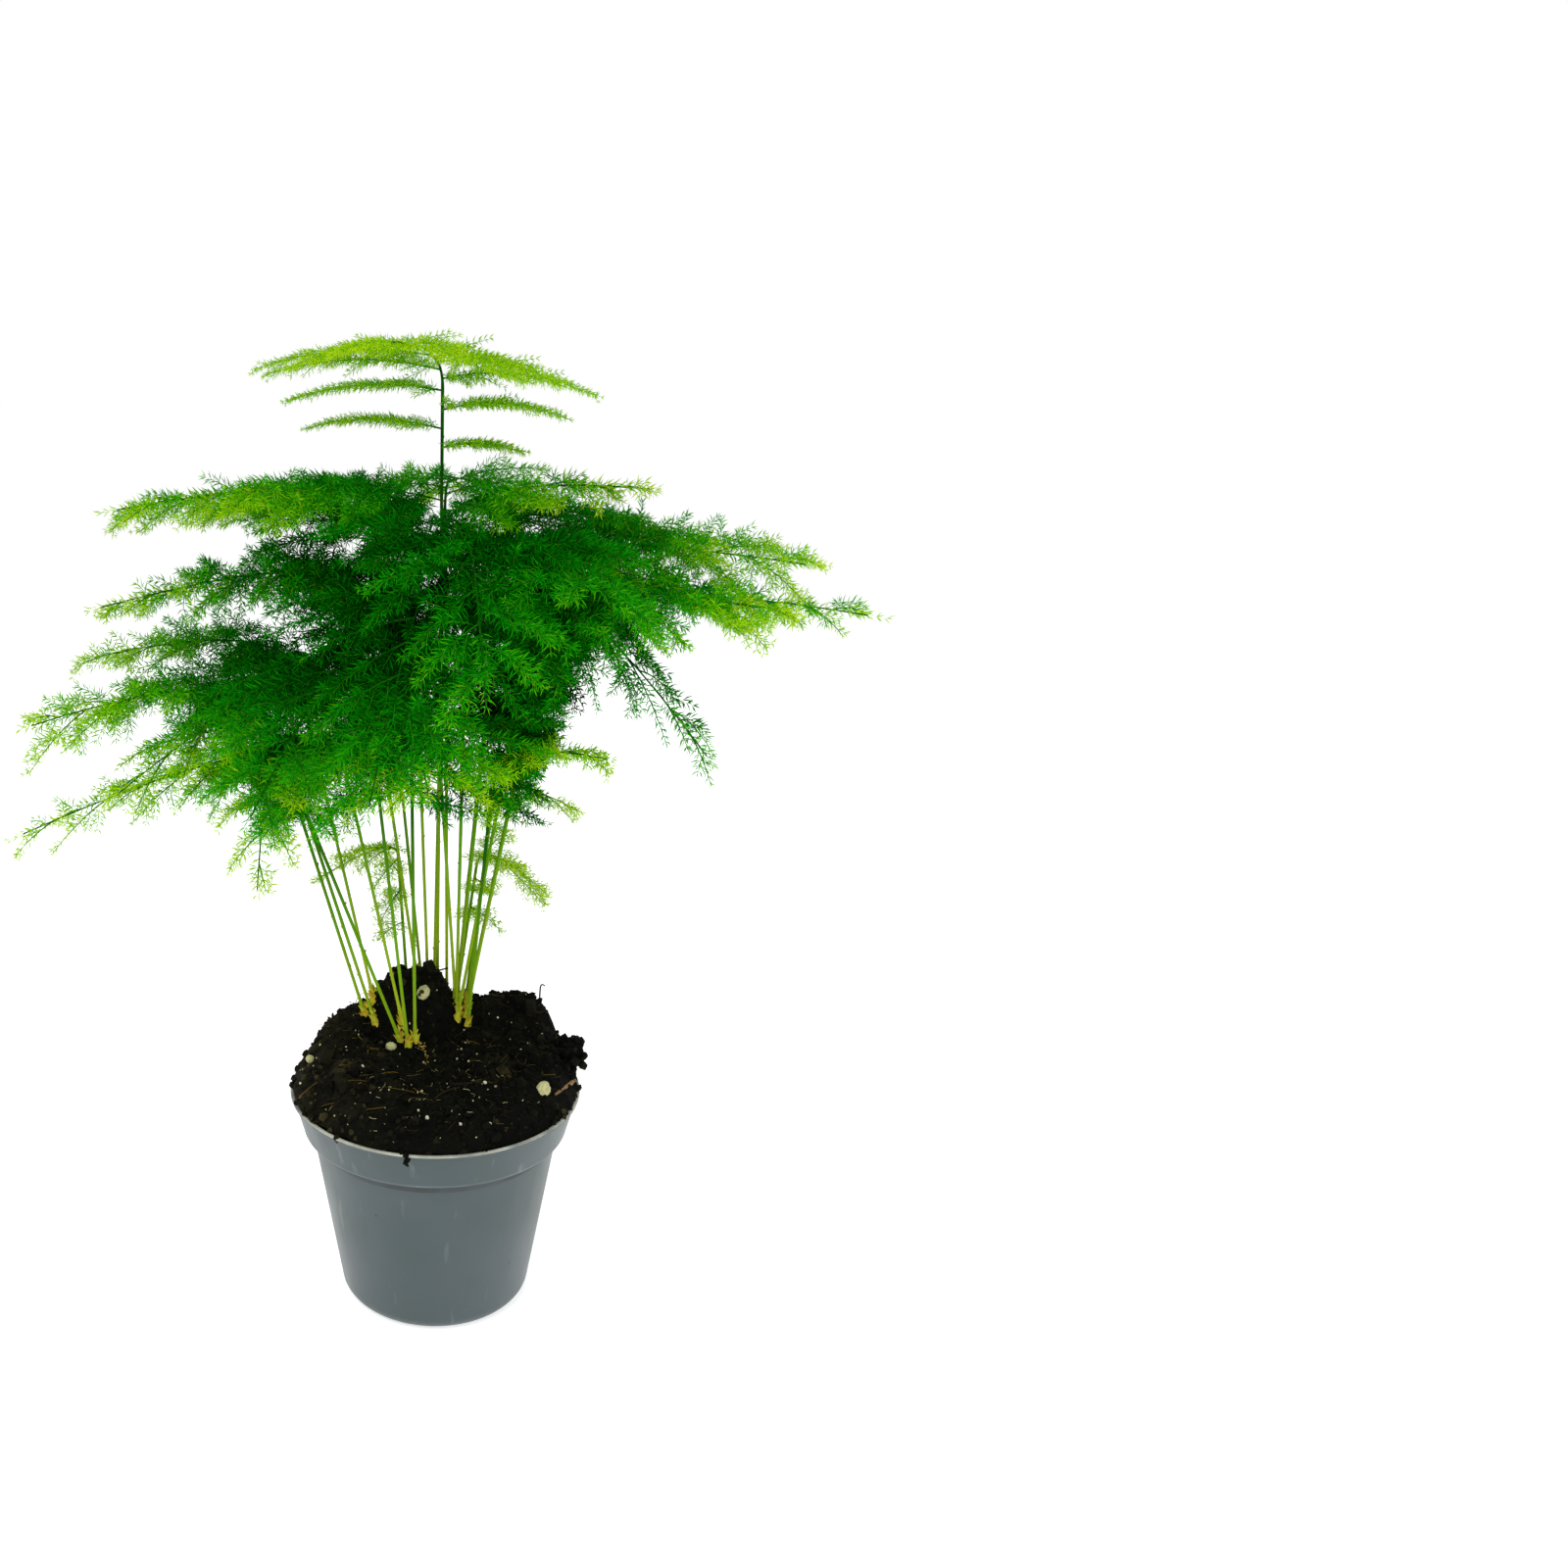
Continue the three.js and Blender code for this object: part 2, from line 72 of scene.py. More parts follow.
# where the ball's edge is higher: centre x and y, height, width
SHOULDERS = ((34, 31, 9, 20), (47, 26, 9, 12), (-38, 26, 7, 17))
SOIL_SEED = 61
SOIL_GRID = 118
VISIBLE_RADIUS = 57.2  # of the soil where the pot's rim shows
VISIBLE_EDGE = 91.4  # its height there
BALL_RADIUS = 57  # before its ragged edge
SPILL_REACH = 1.9  # how much wider and higher it is where it lies over the rim
SPILL_RISE = 1.6
TUCKED_RADIUS = 56.7  # just inside the lip
CRUMBS = 1600
LARGE_CRUMBS = 60
RIM_CRUMBS = 260
CLOD_CRUMBS = 190
CLOD_FIBRES = 24
PERLITE_GRAINS = 130
BARK_CHIPS = 44
GOLDEN_GRAINS = 46
FIBRES = 440
LONG_FIBRES = 30
PALE_FIBRES = 60
# cell size and height of each layer of lumps in the soil's surface
SOIL_RELIEF = ((12, 3.4), (5.5, 2.2), (2.6, 1.3), (1.3, 1.0), (0.8, 0.6))
# kinds of matter in the soil, the second number of a tag
EARTH, PERLITE, BARK, ROOT = 0.125, 0.375, 0.625, 0.875

# Leafy stems
STEM_SEED = 405
TALL_SEED = 23897514  # gives the tall frond its separate layers
ROOTED = 9  # how deep a stem starts below the soil's surface
WIRE_RADIUS = 0.68
WIRE_SIDES = 8
STRAIGHT_RINGS = 26
ARCH_RINGS = 24

# Side shoots; angles are in degrees, here and below
SIDE_STEP = 7  # between side shoots along a stem
ARCH_LEAFED = 0.94  # share of the arch that bears them
SIDE_ANGLE = 18  # how far they lean forward at the knee
SIDE_FOLD = 34  # and how much more at the tip
SIDE_SWING = 9
SIDE_LIFT = 14
SIDE_VARIETY = 0.18  # in length
SIDE_BULGE = 0.05
LOW_TAPER = 0.25  # how much shorter they are low on the straight part
SIDE_RADII = (0.42, 0.16)

# Branchlets
TWIG_STEP = 2.6  # between branchlets along a side shoot
TWIG_ANGLE = 40
TWIG_FOLD = 10
TWIG_SWING = 5
TWIG_SHARE = 0.36  # of their shoot's length
TWIG_LONGEST = 16
TWIG_SHORTEST = 3.2
TWIG_TAPER = 0.72  # how much shorter they get towards the shoot's tip
TWIG_RADIUS = 0.17
TWIG_THICKEST = 0.4  # where along a branchlet
INNER_THINNING = 0.19  # share left out in the dark middle of the plant

# Needles
WHORL_STEP = 1.95
NEEDLES_A_WHORL = 5
NEEDLE_LENGTH = 5.5
NEEDLE_WIDTH = 0.23
NEEDLE_TILT = 60  # away from the branchlet
NEEDLE_TILT_SPREAD = 8
NEEDLE_CLOSING = 26  # how far whorls close towards a tip
NEEDLE_BOW = 0.06  # of its length
INNER_SHADE = 0.22  # painted shade: how much darker inner needles are

# The second number of a tag is below half for needles: here for a needle's root, tip and two middle
# points, with how their tones differ.
WOOD = 0.75
NEEDLE = np.array([0.02, 0.42, 0.21, 0.21])
NEEDLE_TONES = 0.1 * np.array([-1.2, 1, 0, 0])
# first numbers of tags: the range of twigs, and the highest of a bright frond's wire, which has painted
# light
TWIG_DARK, TWIG_LIGHT = 0.66, 0.98
BRIGHT_WIRE = 0.4
BRIGHT = 0.3  # how much lighter a bright frond is, by painted light

# name, base, knee, rise, tip, half width, sag, leafed, tone: the columns of the solids' table
STEMS = [
    ("tall", (1, 44.5), (2.8, 16, 371), 17, (-16, -34, 385), 72, 0.17, 26, "fresh"),
    ("upper_left", (-3.2, 44.5), (-9, 20, 320), 26, (-124, -6, 326), 62, 0.24, 90, "young"),
    ("upper_right", (5.2, 44.5), (4, 2, 318), 24, (84, 0, 334), 40, 0.16, 84, "mid"),
    ("right_large", (13.6, 27), (33, 20, 298), 24, (147, 4, 305), 66, 0.18, 70, "young"),
    ("right_far", (13.8, 31), (44, 38, 268), 36, (178, 20, 283), 48, 0.2, 50, "mid"),
    ("right_front", (9.4, 20), (36, -14, 284), 26, (134, -26, 291), 56, 0.2, 62, "young"),
    ("left_thin", (-8, 43.6), (-30, 28, 290), 24, (-134, 4, 288), 48, 0.18, 72, "mid"),
    ("left_middle", (-30, 20), (-65, 12, 242), 30, (-160, -6, 244), 64, 0.16, 40, "mid"),
    ("left_curl", (-26.5, 24.5), (-57, 42, 256), 26, (-146, 44, 262), 56, 0.18, 52, "mid"),
    ("left_low", (-25.5, 15.5), (-56, 0, 226), 22, (-165, -14, 202), 48, 0.12, 20, "mid"),
    ("left_droop", (-14.6, 6.8), (-57, -22, 238), 16, (-66, -42, 188), 30, 0.2, 26, "young"),
    ("left_inner", (-13.6, 11.4), (-42, 8, 256), 24, (-122, -30, 222), 62, 0.18, 36, "mid"),
    ("right_back_low", (14, 18.4), (22, -12, 226), 20, (66, -30, 238), 34, 0.1, 14, "fresh"),
    ("right_old", (13, 22.8), (43, -2, 284), 26, (106, -18, 232), 58, 0.24, 26, "deep"),
    ("right_low", (13.4, 40.2), (24, 42, 198), 20, (64, 48, 194), 30, 0.16, 12, "mid"),
    ("front_left", (-11.2, 3.2), (-26, -20, 268), 28, (-62, -98, 232), 62, 0.14, 42, "deep"),
    ("front", (8.8, 28.4), (-2, -16, 292), 26, (-22, -110, 238), 64, 0.14, 78, "deep"),
    ("front_bright", (9, 24.2), (12, -14, 312), 22, (16, -106, 274), 58, 0.18, 90, "deep"),
    ("front_right", (9.6, 32.6), (25, -2, 304), 26, (62, -78, 300), 58, 0.18, 54, "deep"),
    ("back_left", (-5.4, 48.6), (-24, 50, 309), 26, (-96, 92, 317), 64, 0.14, 84, "mid"),
    ("back", (-0.6, 48.8), (4, 56, 322), 24, (12, 130, 324), 62, 0.14, 96, "mid"),
    ("back_right", (9.2, 37.2), (28, 48, 312), 22, (106, 84, 300), 64, 0.16, 84, "mid"),
    ("young_right", (9.2, 47.6), (18, 46, 172), 14, (50, 50, 156), 34, 0.1, 30, "fresh"),
    ("young_left", (-12.4, 45.6), (-16, 46, 176), 12, (-54, 50, 162), 32, 0.1, 34, "fresh"),
    ("front_low", (-8.4, 6.8), (-9, -12, 236), 22, (-2, -80, 238), 58, 0.14, 24, "mid"),
]
# for each tone, how light its inner needles are and how much lighter the tips
TONE = {"fresh": (0.5, 0.12), "young": (0.26, 0.5), "mid": (0.23, 0.44), "deep": (0.18, 0.17)}
# how a frond differs from the common one: share of branchlets kept at its tips, how close they stand,
# its needles' length, how far branchlets stray from their layer, and how much painted light makes it
# lighter
COMMON = (1, 1, 1, 22, 0)
OWN = {
    "tall": (1, 2.1, 0.6, 11, 0.18),
    "upper_left": (1, 1.6, 0.85, 13, 0),
    "upper_right": (1, 1, 1, 14, 0.18),
    "right_large": (1, 1.7, 0.85, 30, 0.06),
    "right_far": (0.6, 1.2, 1, 14, 0),
    "right_front": (1, 1.35, 1, 28, 0.04),
    "left_thin": (0.8, 1.9, 0.9, 38, 0.1),
    "left_middle": (0.75, 1.2, 1, 34, 0.11),
    "left_curl": (0.7, 1.6, 0.9, 38, 0.14),
    "left_low": (0.5, 1.2, 0.85, 34, 0.17),
    "left_droop": (1, 1.6, 1, 22, 0.2),
    "left_inner": (0.75, 1, 1, 22, 0.09),
    "right_back_low": (1, 1, 0.85, 22, 0.3),
    "right_old": (0.25, 1, 1, 22, 0.1),
    "right_low": (0.6, 1, 0.8, 22, 0.36),
    "back_left": (1, 0.9, 1, 22, 0.13),
    "back": (1, 0.56, 1, 22, 0.13),
    "back_right": (1, 0.7, 1, 22, 0.08),
    "young_right": (0.8, 1.5, 0.7, 12, 0.36),
    "young_left": (0.8, 1.5, 0.7, 12, 0.36),
    "front_low": (1, 1, 1, 22, 0.1),
}
# the plant's middle, whose needles get painted shade: its centre, its reach, and the height below which
# it opens again
DARK_CENTRE = np.array([8.0, 16.0, 268.0])
DARK_REACH = np.array([125.0, 100.0, 78.0])
DARK_POWER = 1.8
DARK_LOW = 205
DARK_FADE = 60
RIGHT, BACK, UP = np.eye(3)


def lcg_step(state):
    return (state * 1664525 + 1013904223) % 4294967296


def seeded_draw(seed):
    """The same draws as the solids' own rule, each from -1 to 1."""
    state = lcg_step(lcg_step(seed))

    def draw():
        nonlocal state
        state = lcg_step(state)
        return state / 2147483648 - 1

    return draw


def unit(v):
    """Rows of v, each at length 1."""
    return v / np.maximum(np.linalg.norm(v, axis=-1, keepdims=True), 1e-9)


def soil_height(x, y, edge_radius=COLLAR_TOP_RADIUS, edge_height=SOIL_EDGE):
    """Height of the root ball, which stands above the rim with a heap at the crowns."""
    edge = np.minimum(1, np.hypot(x, y) / edge_radius)
    ball = SOIL_PLATEAU - SOIL_EDGE + SOIL_BACK_RISE * y / COLLAR_TOP_RADIUS
    away = np.hypot(x - HUMP_CENTRE[0], y - HUMP_CENTRE[1]) / HUMP_WIDTH
    heap = HUMP_HEIGHT * np.exp(-(away**4))
    proud = sum(h * np.exp(-(((x - cx) / w) ** 2) - ((y - cy) / w) ** 2) for cx, cy, h, w in SHOULDERS)
    return edge_height + (ball + heap) * (1 - edge**8) + proud * (1 - edge**24)


def value_noise(x, y, cell, seed):
    """Smooth noise, -0.5 to 0.5, with lumps about a cell wide."""
    grid = np.random.default_rng(seed).random((64, 64))
    u, v = x / cell + 500, y / cell + 500
    i, j = np.floor(u).astype(int), np.floor(v).astype(int)
    f, g = u - i, v - j
    f, g = f * f * (3 - 2 * f), g * g * (3 - 2 * g)
    low, high = (grid[i % 64, k % 64] * (1 - f) + grid[(i + 1) % 64, k % 64] * f for k in (j, j + 1))
    return low * (1 - g) + high * g - 0.5


def soil_relief(x, y):
    """Lumps of the soil's surface, in layers from coarse to fine."""
    layers = enumerate(SOIL_RELIEF)
    return sum(high * value_noise(x, y, cell, SOIL_SEED + n) for n, (cell, high) in layers)


def bezier(p, t):
    """Points at t on quadratic curves p, an array (..., 3 control points, xyz)."""
    t = np.asarray(t, float)[..., None]
    return (1 - t) ** 2 * p[..., 0, :] + 2 * t * (1 - t) * p[..., 1, :] + t**2 * p[..., 2, :]


def bezier_tangent(p, t):
    t = np.asarray(t, float)[..., None]
    return unit((1 - t) * (p[..., 1, :] - p[..., 0, :]) + t * (p[..., 2, :] - p[..., 1, :]))


class Stem:
    """The line of a leafy stem: straight from the crown to the knee, then an arch to the tip."""

    def __init__(self, index, row):
        self.name, base, knee, rise, tip, self.spread, self.sag, self.leafed, self.tone_name = row
        self.airy, self.fuller, self.finer, self.stray, self.lit = OWN.get(self.name, COMMON)
        inner, lighter = TONE[self.tone_name]
        # painted light makes some fronds lighter
        self.tone = inner + self.lit, lighter
        self.seed = TALL_SEED if self.name == "tall" else STEM_SEED + index
        self.foot = np.array([*base, soil_height(*base)], float)
        self.knee, self.tip = np.array([knee, tip], float)
        self.climb = unit(self.knee - self.foot)
        crest = self.knee + self.climb * rise
        self.arch = np.array([self.knee, crest, self.tip])
        gaps = (self.knee - crest, crest - self.tip, self.knee - self.tip)
        self.arch_length = sum(np.linalg.norm(g) for g in gaps) / 2
        self.reach = unit((self.tip - self.knee) * (1, 1, 0))
        self.lateral = np.cross(UP, self.reach)


def width_at(share):
    """How wide a frond is along its arch, as a share of its half width."""
    return min(1, 0.75 + 1.5 * share) * (1 - share) ** 0.42


def side_shoots(stem):
    """Every side shoot as (control points, length, share of the arch)."""
    draw = seeded_draw(stem.seed)
    bearing = stem.leafed + ARCH_LEAFED * stem.arch_length
    count = round(bearing / SIDE_STEP)
    shoots = []
    for i in range(count):
        distance = (i + 0.5) * bearing / count - stem.leafed
        share = max(0, distance / stem.arch_length)
        root = bezier(stem.arch, share) + stem.climb * min(0, distance)
        tangent = bezier_tangent(stem.arch, share)
        slope = min(0, max(-1, tangent[2] / math.hypot(tangent[0], tangent[1])))
        forward = unit(stem.reach + slope * UP)
        angle = math.radians(SIDE_ANGLE + SIDE_FOLD * share + SIDE_SWING * draw())
        lift = math.radians(SIDE_LIFT * draw())
        taper = 1 + LOW_TAPER * min(0, distance) / stem.leafed
        length = stem.spread * width_at(share) * taper * (1 + SIDE_VARIETY * draw())
        side = -1 if i % 2 else 1
        heading = stem.lateral * side * math.cos(angle) + forward * math.sin(angle)
        way = heading * math.cos(lift) + UP * math.sin(lift)
        middle = root + way * 0.5 * length + UP * SIDE_BULGE * length
        end = root + way * length - UP * stem.sag * length
        shoots.append((np.array([root, middle, end]), length, share))
    return shoots


def tagged(light, kind):
    """Tags of points: how light or young each is, and what it is made of."""
    return np.stack([light, np.full(np.shape(light), kind)], -1)


class MeshParts:
    """Collects points, triangles and two-number tags of points, and makes one mesh."""

    def __init__(self):
        self.points, self.faces, self.tags, self.count = [], [], [], 0

    def add(self, points, faces, tags):
        self.points.append(points.reshape(-1, 3))
        self.faces.append(faces.reshape(-1, 3) + self.count)
        self.tags.append(tags.reshape(-1, 2))
        self.count += self.points[-1].shape[0]

    def mesh(self, name):
        points = np.concatenate(self.points) * MM
        faces = np.concatenate(self.faces)
        tags = np.concatenate(self.tags)[faces.ravel()]
        made = bpy.data.meshes.new(name)
        made.vertices.add(len(points))
        made.vertices.foreach_set("co", points.astype(np.float32).ravel())
        made.loops.add(faces.size)
        made.loops.foreach_set("vertex_index", faces.astype(np.int32).ravel())
        made.polygons.add(len(faces))
        made.polygons.foreach_set("loop_start", np.arange(0, faces.size, 3, dtype=np.int32))
        for layer in ("Fern", "OFBake"):
            made.uv_layers.new(name=layer).data.foreach_set("uv", tags.astype(np.float32).ravel())
        made.shade_flat()
        made.update(calc_edges=True)
        return made


def around(first, second, turn):
    """A direction for each turn round a line, from two axes across it."""
    return first * np.cos(turn)[:, None] + second * np.sin(turn)[:, None]


def even_turns(count):
    return np.arange(count) * 2 * math.pi / count


def ring(first, second, sides):
    """Even directions round each line, (..., sides, xyz)."""
    return around(first[..., None, :], second[..., None, :], even_turns(sides))


def tube_faces(sides, rings):
    """Triangles of a tube, whose points are its rings, then a root point and a tip point."""
    root, tip = rings * sides, rings * sides + 1
    last = root - sides
    faces = []
    for k in range(sides):
        j = (k + 1) % sides
        faces += [(root, j, k), (last + k, last + j, tip)]
        for s in range(0, last, sides):
            faces += [(s + k, s + j, s + sides + j), (s + k, s + sides + j, s + sides + k)]
    return np.array(faces)


def copies(faces, count, points):
    """The faces of count shapes alike, each of so many points."""
    return np.array(faces)[None] + (np.arange(count) * points)[:, None, None]


def add_tubes(parts, curves, radii, sides, segments, tags):
    """Closed tubes along curves (n, 3, xyz), with a radius and a tag at each root and tip."""
    n = len(curves)
    radii = np.asarray(radii)
    t = np.linspace(0, 1, segments + 1)
    centres, along = bezier(curves[:, None], t), bezier_tangent(curves[:, None], t)
    across = np.cross(along[:, :1], UP)
    upright = np.linalg.norm(across, axis=-1, keepdims=True) < 0.05
    second = unit(np.cross(along, unit(np.where(upright, RIGHT, across))))
    first = np.cross(second, along)
    radius = radii[:, :1] + (radii[:, 1:] - radii[:, :1]) * t
    rings = centres[:, :, None] + ring(first, second, sides) * radius[:, :, None, None]
    ends = np.stack([centres[:, 0] - along[:, 0] * 0.1, centres[:, -1] + along[:, -1] * 0.2], 1)
    points = np.concatenate([rings.reshape(n, -1, 3), ends], 1)
    tag = tags[:, :1] + (tags[:, 1:] - tags[:, :1]) * t[None, :, None]
    tag = np.concatenate([np.repeat(tag, sides, axis=1), tags], 1)
    parts.add(points, copies(tube_faces(sides, segments + 1), n, points.shape[1]), tag)


def add_twigs(parts, curves, radius, tags):
    """Closed three-sided spindles bent along curves, with a tag for each root and tip."""
    middle, along = bezier(curves, TWIG_THICKEST), bezier_tangent(curves, TWIG_THICKEST)
    first = unit(np.cross(along, UP + 0.01))
    widest = middle[:, None] + radius * ring(first, np.cross(along, first), 3)
    points = np.concatenate([curves[:, :1], curves[:, 2:], widest], 1)
    faces = [(0, 3, 2), (0, 4, 3), (0, 2, 4), (1, 2, 3), (1, 3, 4), (1, 4, 2)]
    tags = np.concatenate([tags, np.repeat(tags.mean(1, keepdims=True), 3, 1)], 1)
    parts.add(points, copies(faces, len(curves), 5), tags)


def add_blades(parts, roots, ways, lengths, widths, bow, tags):
    """Closed four-faced blades: root, tip and two points that give them their width."""
    side = unit(np.cross(ways, UP + 0.01))
    normal = np.cross(side, ways)
    middle = roots + ways * (0.45 * lengths)[:, None] + normal * bow[:, None]
    half = side * (widths / 2)[:, None]
    deep = normal * (widths * 0.7)[:, None]
    tips = roots + ways * lengths[:, None]
    points = np.stack([roots, tips, middle + half + deep, middle - half + deep], 1)
    parts.add(points, copies([(0, 1, 2), (0, 2, 3), (0, 3, 1), (1, 3, 2)], len(roots), 4), tags)


def branchlets(rng, shoots, stem):
    """Branchlets: their control points, lengths, youth and places along their shoots."""
    found = []
    for control, length, share in shoots:
        count = max(2, int(stem.fuller * length / TWIG_STEP))
        t = (np.arange(count) + 0.6 + 0.3 * rng.random(count)) / (count + 0.4)
        t = np.clip(t, 0.03, 0.98)
        root, along = bezier(control, t), bezier_tangent(control, t)
        side = unit(np.cross(UP, along))
        hand = np.where(np.arange(count) % 2, 1.0, -1.0)[:, None]
        angle = np.radians(TWIG_ANGLE + TWIG_FOLD * t + rng.normal(0, TWIG_SWING, count))[:, None]
        stray = stem.stray if share > 0 else 0.5 * stem.stray
        rise = np.radians(rng.normal(0, stray, count))[:, None]
        way = side * hand * np.cos(angle) + along * np.sin(angle)
        way = unit(way * np.cos(rise) + UP * np.sin(rise))
        size = np.minimum(TWIG_LONGEST, TWIG_SHARE * length + 2) * (1 - TWIG_TAPER * t)
        size = np.maximum(size * rng.uniform(0.8, 1.15, count), TWIG_SHORTEST)[:, None]
        middle = root + way * 0.5 * size + UP * 0.03 * size
        end = root + way * size + along * 0.12 * size - UP * 0.1 * size
        found.append((np.stack([root, middle, end], 1), size[:, 0], 0.5 * t + 0.5 * share, t))
    return [np.concatenate(column) for column in zip(*found)]


def add_whorls(rng, parts, curves, lengths, youth, outer, tone, finer, first=0.08, shorten=0.35):
    """Whorls of needles along curves, from first on, and shorter at a tip.

    youth lightens them and carries painted light towards the outside of the plant; outer says how far
    each curve is from the middle of the plant, where painted shade darkens them.
    """
    counts = np.maximum(2, np.round(lengths * (1 - first) / WHORL_STEP)).astype(int)
    which = np.repeat(np.arange(len(curves)), counts)
    place = np.concatenate([(np.arange(c) + rng.uniform(0.3, 0.7)) / c for c in counts])
    place = first + (1 - first) * place
    which = np.repeat(which, NEEDLES_A_WHORL)
    count = len(which)
    turn = rng.random(len(place)) * 2 * math.pi
    turn = (turn[:, None] + even_turns(NEEDLES_A_WHORL)).ravel()
    turn += rng.normal(0, 0.18, len(turn))
    place = np.repeat(place, NEEDLES_A_WHORL) + rng.normal(0, 0.012, count)
    place = np.clip(place, 0.02, 1)
    roots, along = bezier(curves[which], place), bezier_tangent(curves[which], place)
    across = unit(np.cross(along, UP + 0.01))
    radial = around(across, np.cross(across, along), turn)
    tilt = rng.normal(NEEDLE_TILT, NEEDLE_TILT_SPREAD, count) - NEEDLE_CLOSING * place**3
    tilt = np.radians(tilt)[:, None]
    ways = unit(unit(radial) * np.sin(tilt) + along * np.cos(tilt))
    long = finer[which] * NEEDLE_LENGTH * rng.uniform(0.78, 1.15, count) * (1 - shorten * place**2)
    young = youth[which]
    inner = 1 - outer[which]
    # lighter when young and towards a branchlet's tip, and darker in the middle of the plant: painted
    # shade
    tones = tone[0] + 0.1 * young + tone[1] * np.maximum(young, 0) ** 2 + (0.16 - 0.12 * inner) * place
    tones += rng.normal(0, 1, count) * (0.08 - 0.03 * inner) - INNER_SHADE * inner
    widths = NEEDLE_WIDTH * rng.uniform(0.85, 1.1, count) * (1 + inner)
    light = np.clip(tones[:, None] + NEEDLE_TONES, 0.01, 0.99)
    tags = np.stack([light, np.broadcast_to(NEEDLE, light.shape)], -1)
    add_blades(parts, roots, ways, long, widths, NEEDLE_BOW * long, tags)


def openness(points):
    """How far points are from the middle of the plant, 0 inside and 1 outside; painted shade darkens
    needles inside.
    """
    away = (points - DARK_CENTRE) / DARK_REACH
    below = np.clip((DARK_LOW - points[:, 2]) / DARK_FADE, 0, 1)
    return np.clip(np.linalg.norm(away, axis=1) ** DARK_POWER + below, 0, 1)


def wood_tags(roots, tips):
    """Tags of pieces of wood, from the tones of their roots and tips."""
    return tagged(np.stack([roots, tips], -1), WOOD)


def foliage(stem):
    """One leafy stem: wire, side shoots, branchlets, needles and the scales at its foot."""
    rng = np.random.default_rng(stem.seed)
    parts = MeshParts()
    inner_tone = stem.tone[0]
    shoots = side_shoots(stem)
    controls, lengths, shares = (np.array(column) for column in zip(*shoots))

    add_stem_wire(rng, parts, stem)
    n = len(shoots)
    tags = wood_tags(TWIG_DARK + 0.3 * inner_tone * shares, np.full(n, 0.68 + 0.5 * inner_tone))
    add_tubes(parts, controls, np.tile(SIDE_RADII, (n, 1)), 3, 5, tags)

    twigs = branchlets(rng, shoots, stem)
    roots, youth = twigs[0][:, 0], twigs[2]
    kept = rng.random(len(roots)) < 1 - (1 - stem.airy) * np.minimum(1, 1.6 * youth)
    kept &= rng.random(len(roots)) < 1 - INNER_THINNING * (1 - openness(roots))
    curves, twig_lengths, youth, places = (column[kept] for column in twigs)
    light = 0.5 * inner_tone * (1 + youth)
    at_root = np.clip(TWIG_DARK + light, TWIG_DARK, TWIG_LIGHT)
    at_tip = np.clip(0.72 + light, TWIG_DARK, TWIG_LIGHT)
    add_twigs(parts, curves, TWIG_RADIUS, wood_tags(at_root, at_tip))

    # needles on the branchlets, on the outer part of the side shoots, and on the stem's own tip
    # outer needles get more youth and so a lighter colour: painted light; the stem's tip takes its youth
    # from that alone
    outer = openness(curves[:, 0])
    finer = stem.finer * (1 - 0.45 * places**4)
    add_whorls(rng, parts, curves, twig_lengths, youth + 0.5 * outer - 0.35, outer, stem.tone, finer)
    outer = openness(controls[:, 2])
    finer = np.full(n, stem.finer)
    add_whorls(rng, parts, controls, lengths, shares + 0.2, outer, stem.tone, finer, 0.35, 0.5)
    end = np.array([bezier(stem.arch, 0.8), bezier(stem.arch, 0.9), stem.tip])[None]
    end_length = np.array([stem.arch_length * 0.22])
    outer = openness(end[:, 2])
    add_whorls(rng, parts, end, end_length, outer, outer, stem.tone, finer, 0.05)
    add_foot_scales(rng, parts, stem)
    return parts


def add_stem_wire(rng, parts, stem):
    """The bare stem with its arch as one closed tube of many rings."""
    straight = np.array([stem.foot - stem.climb * ROOTED, (stem.foot + stem.knee) / 2, stem.knee])
    low = np.linspace(0, 1, STRAIGHT_RINGS)
    high = np.linspace(0, 0.97, ARCH_RINGS)[1:]
    centres = np.concatenate([bezier(straight, low), bezier(stem.arch, high)])
    heights = np.linalg.norm(centres - centres[0], axis=1)
    along = unit(np.gradient(centres, axis=0))
    second = unit(np.cross(along, stem.lateral))
    first = np.cross(second, along)
    # thinner along the arch, swollen at the soil, with a low ring at each joint
    share = np.concatenate([low * 0.0, high])
    radius = WIRE_RADIUS * (1 - 0.6 * share**0.6) + 0.42 * np.exp(-((heights - ROOTED) / 5.0) ** 2)
    radius = radius + 0.05 * (np.sin(heights / 2.9) > 0.93)
    rings = centres[:, None] + radius[:, None, None] * ring(first, second, WIRE_SIDES)
    ends = (centres[:1] - along[:1] * 0.2, centres[-1:] + along[-1:] * 0.5)
    points = np.concatenate([rings.reshape(-1, 3), *ends])
    # a bright frond's wire is kept lighter: painted light
    darkest = BRIGHT_WIRE if stem.lit > BRIGHT else TWIG_DARK
    light = 0.08 + 0.6 * (heights - 4) / heights[STRAIGHT_RINGS - 1] + rng.uniform(0, 0.16)
    light = np.clip(light, 0.08, darkest)
    light = np.concatenate([np.repeat(light, WIRE_SIDES), light[:1], light[-1:]])
    parts.add(points, tube_faces(WIRE_SIDES, len(centres)), tagged(light, WOOD))


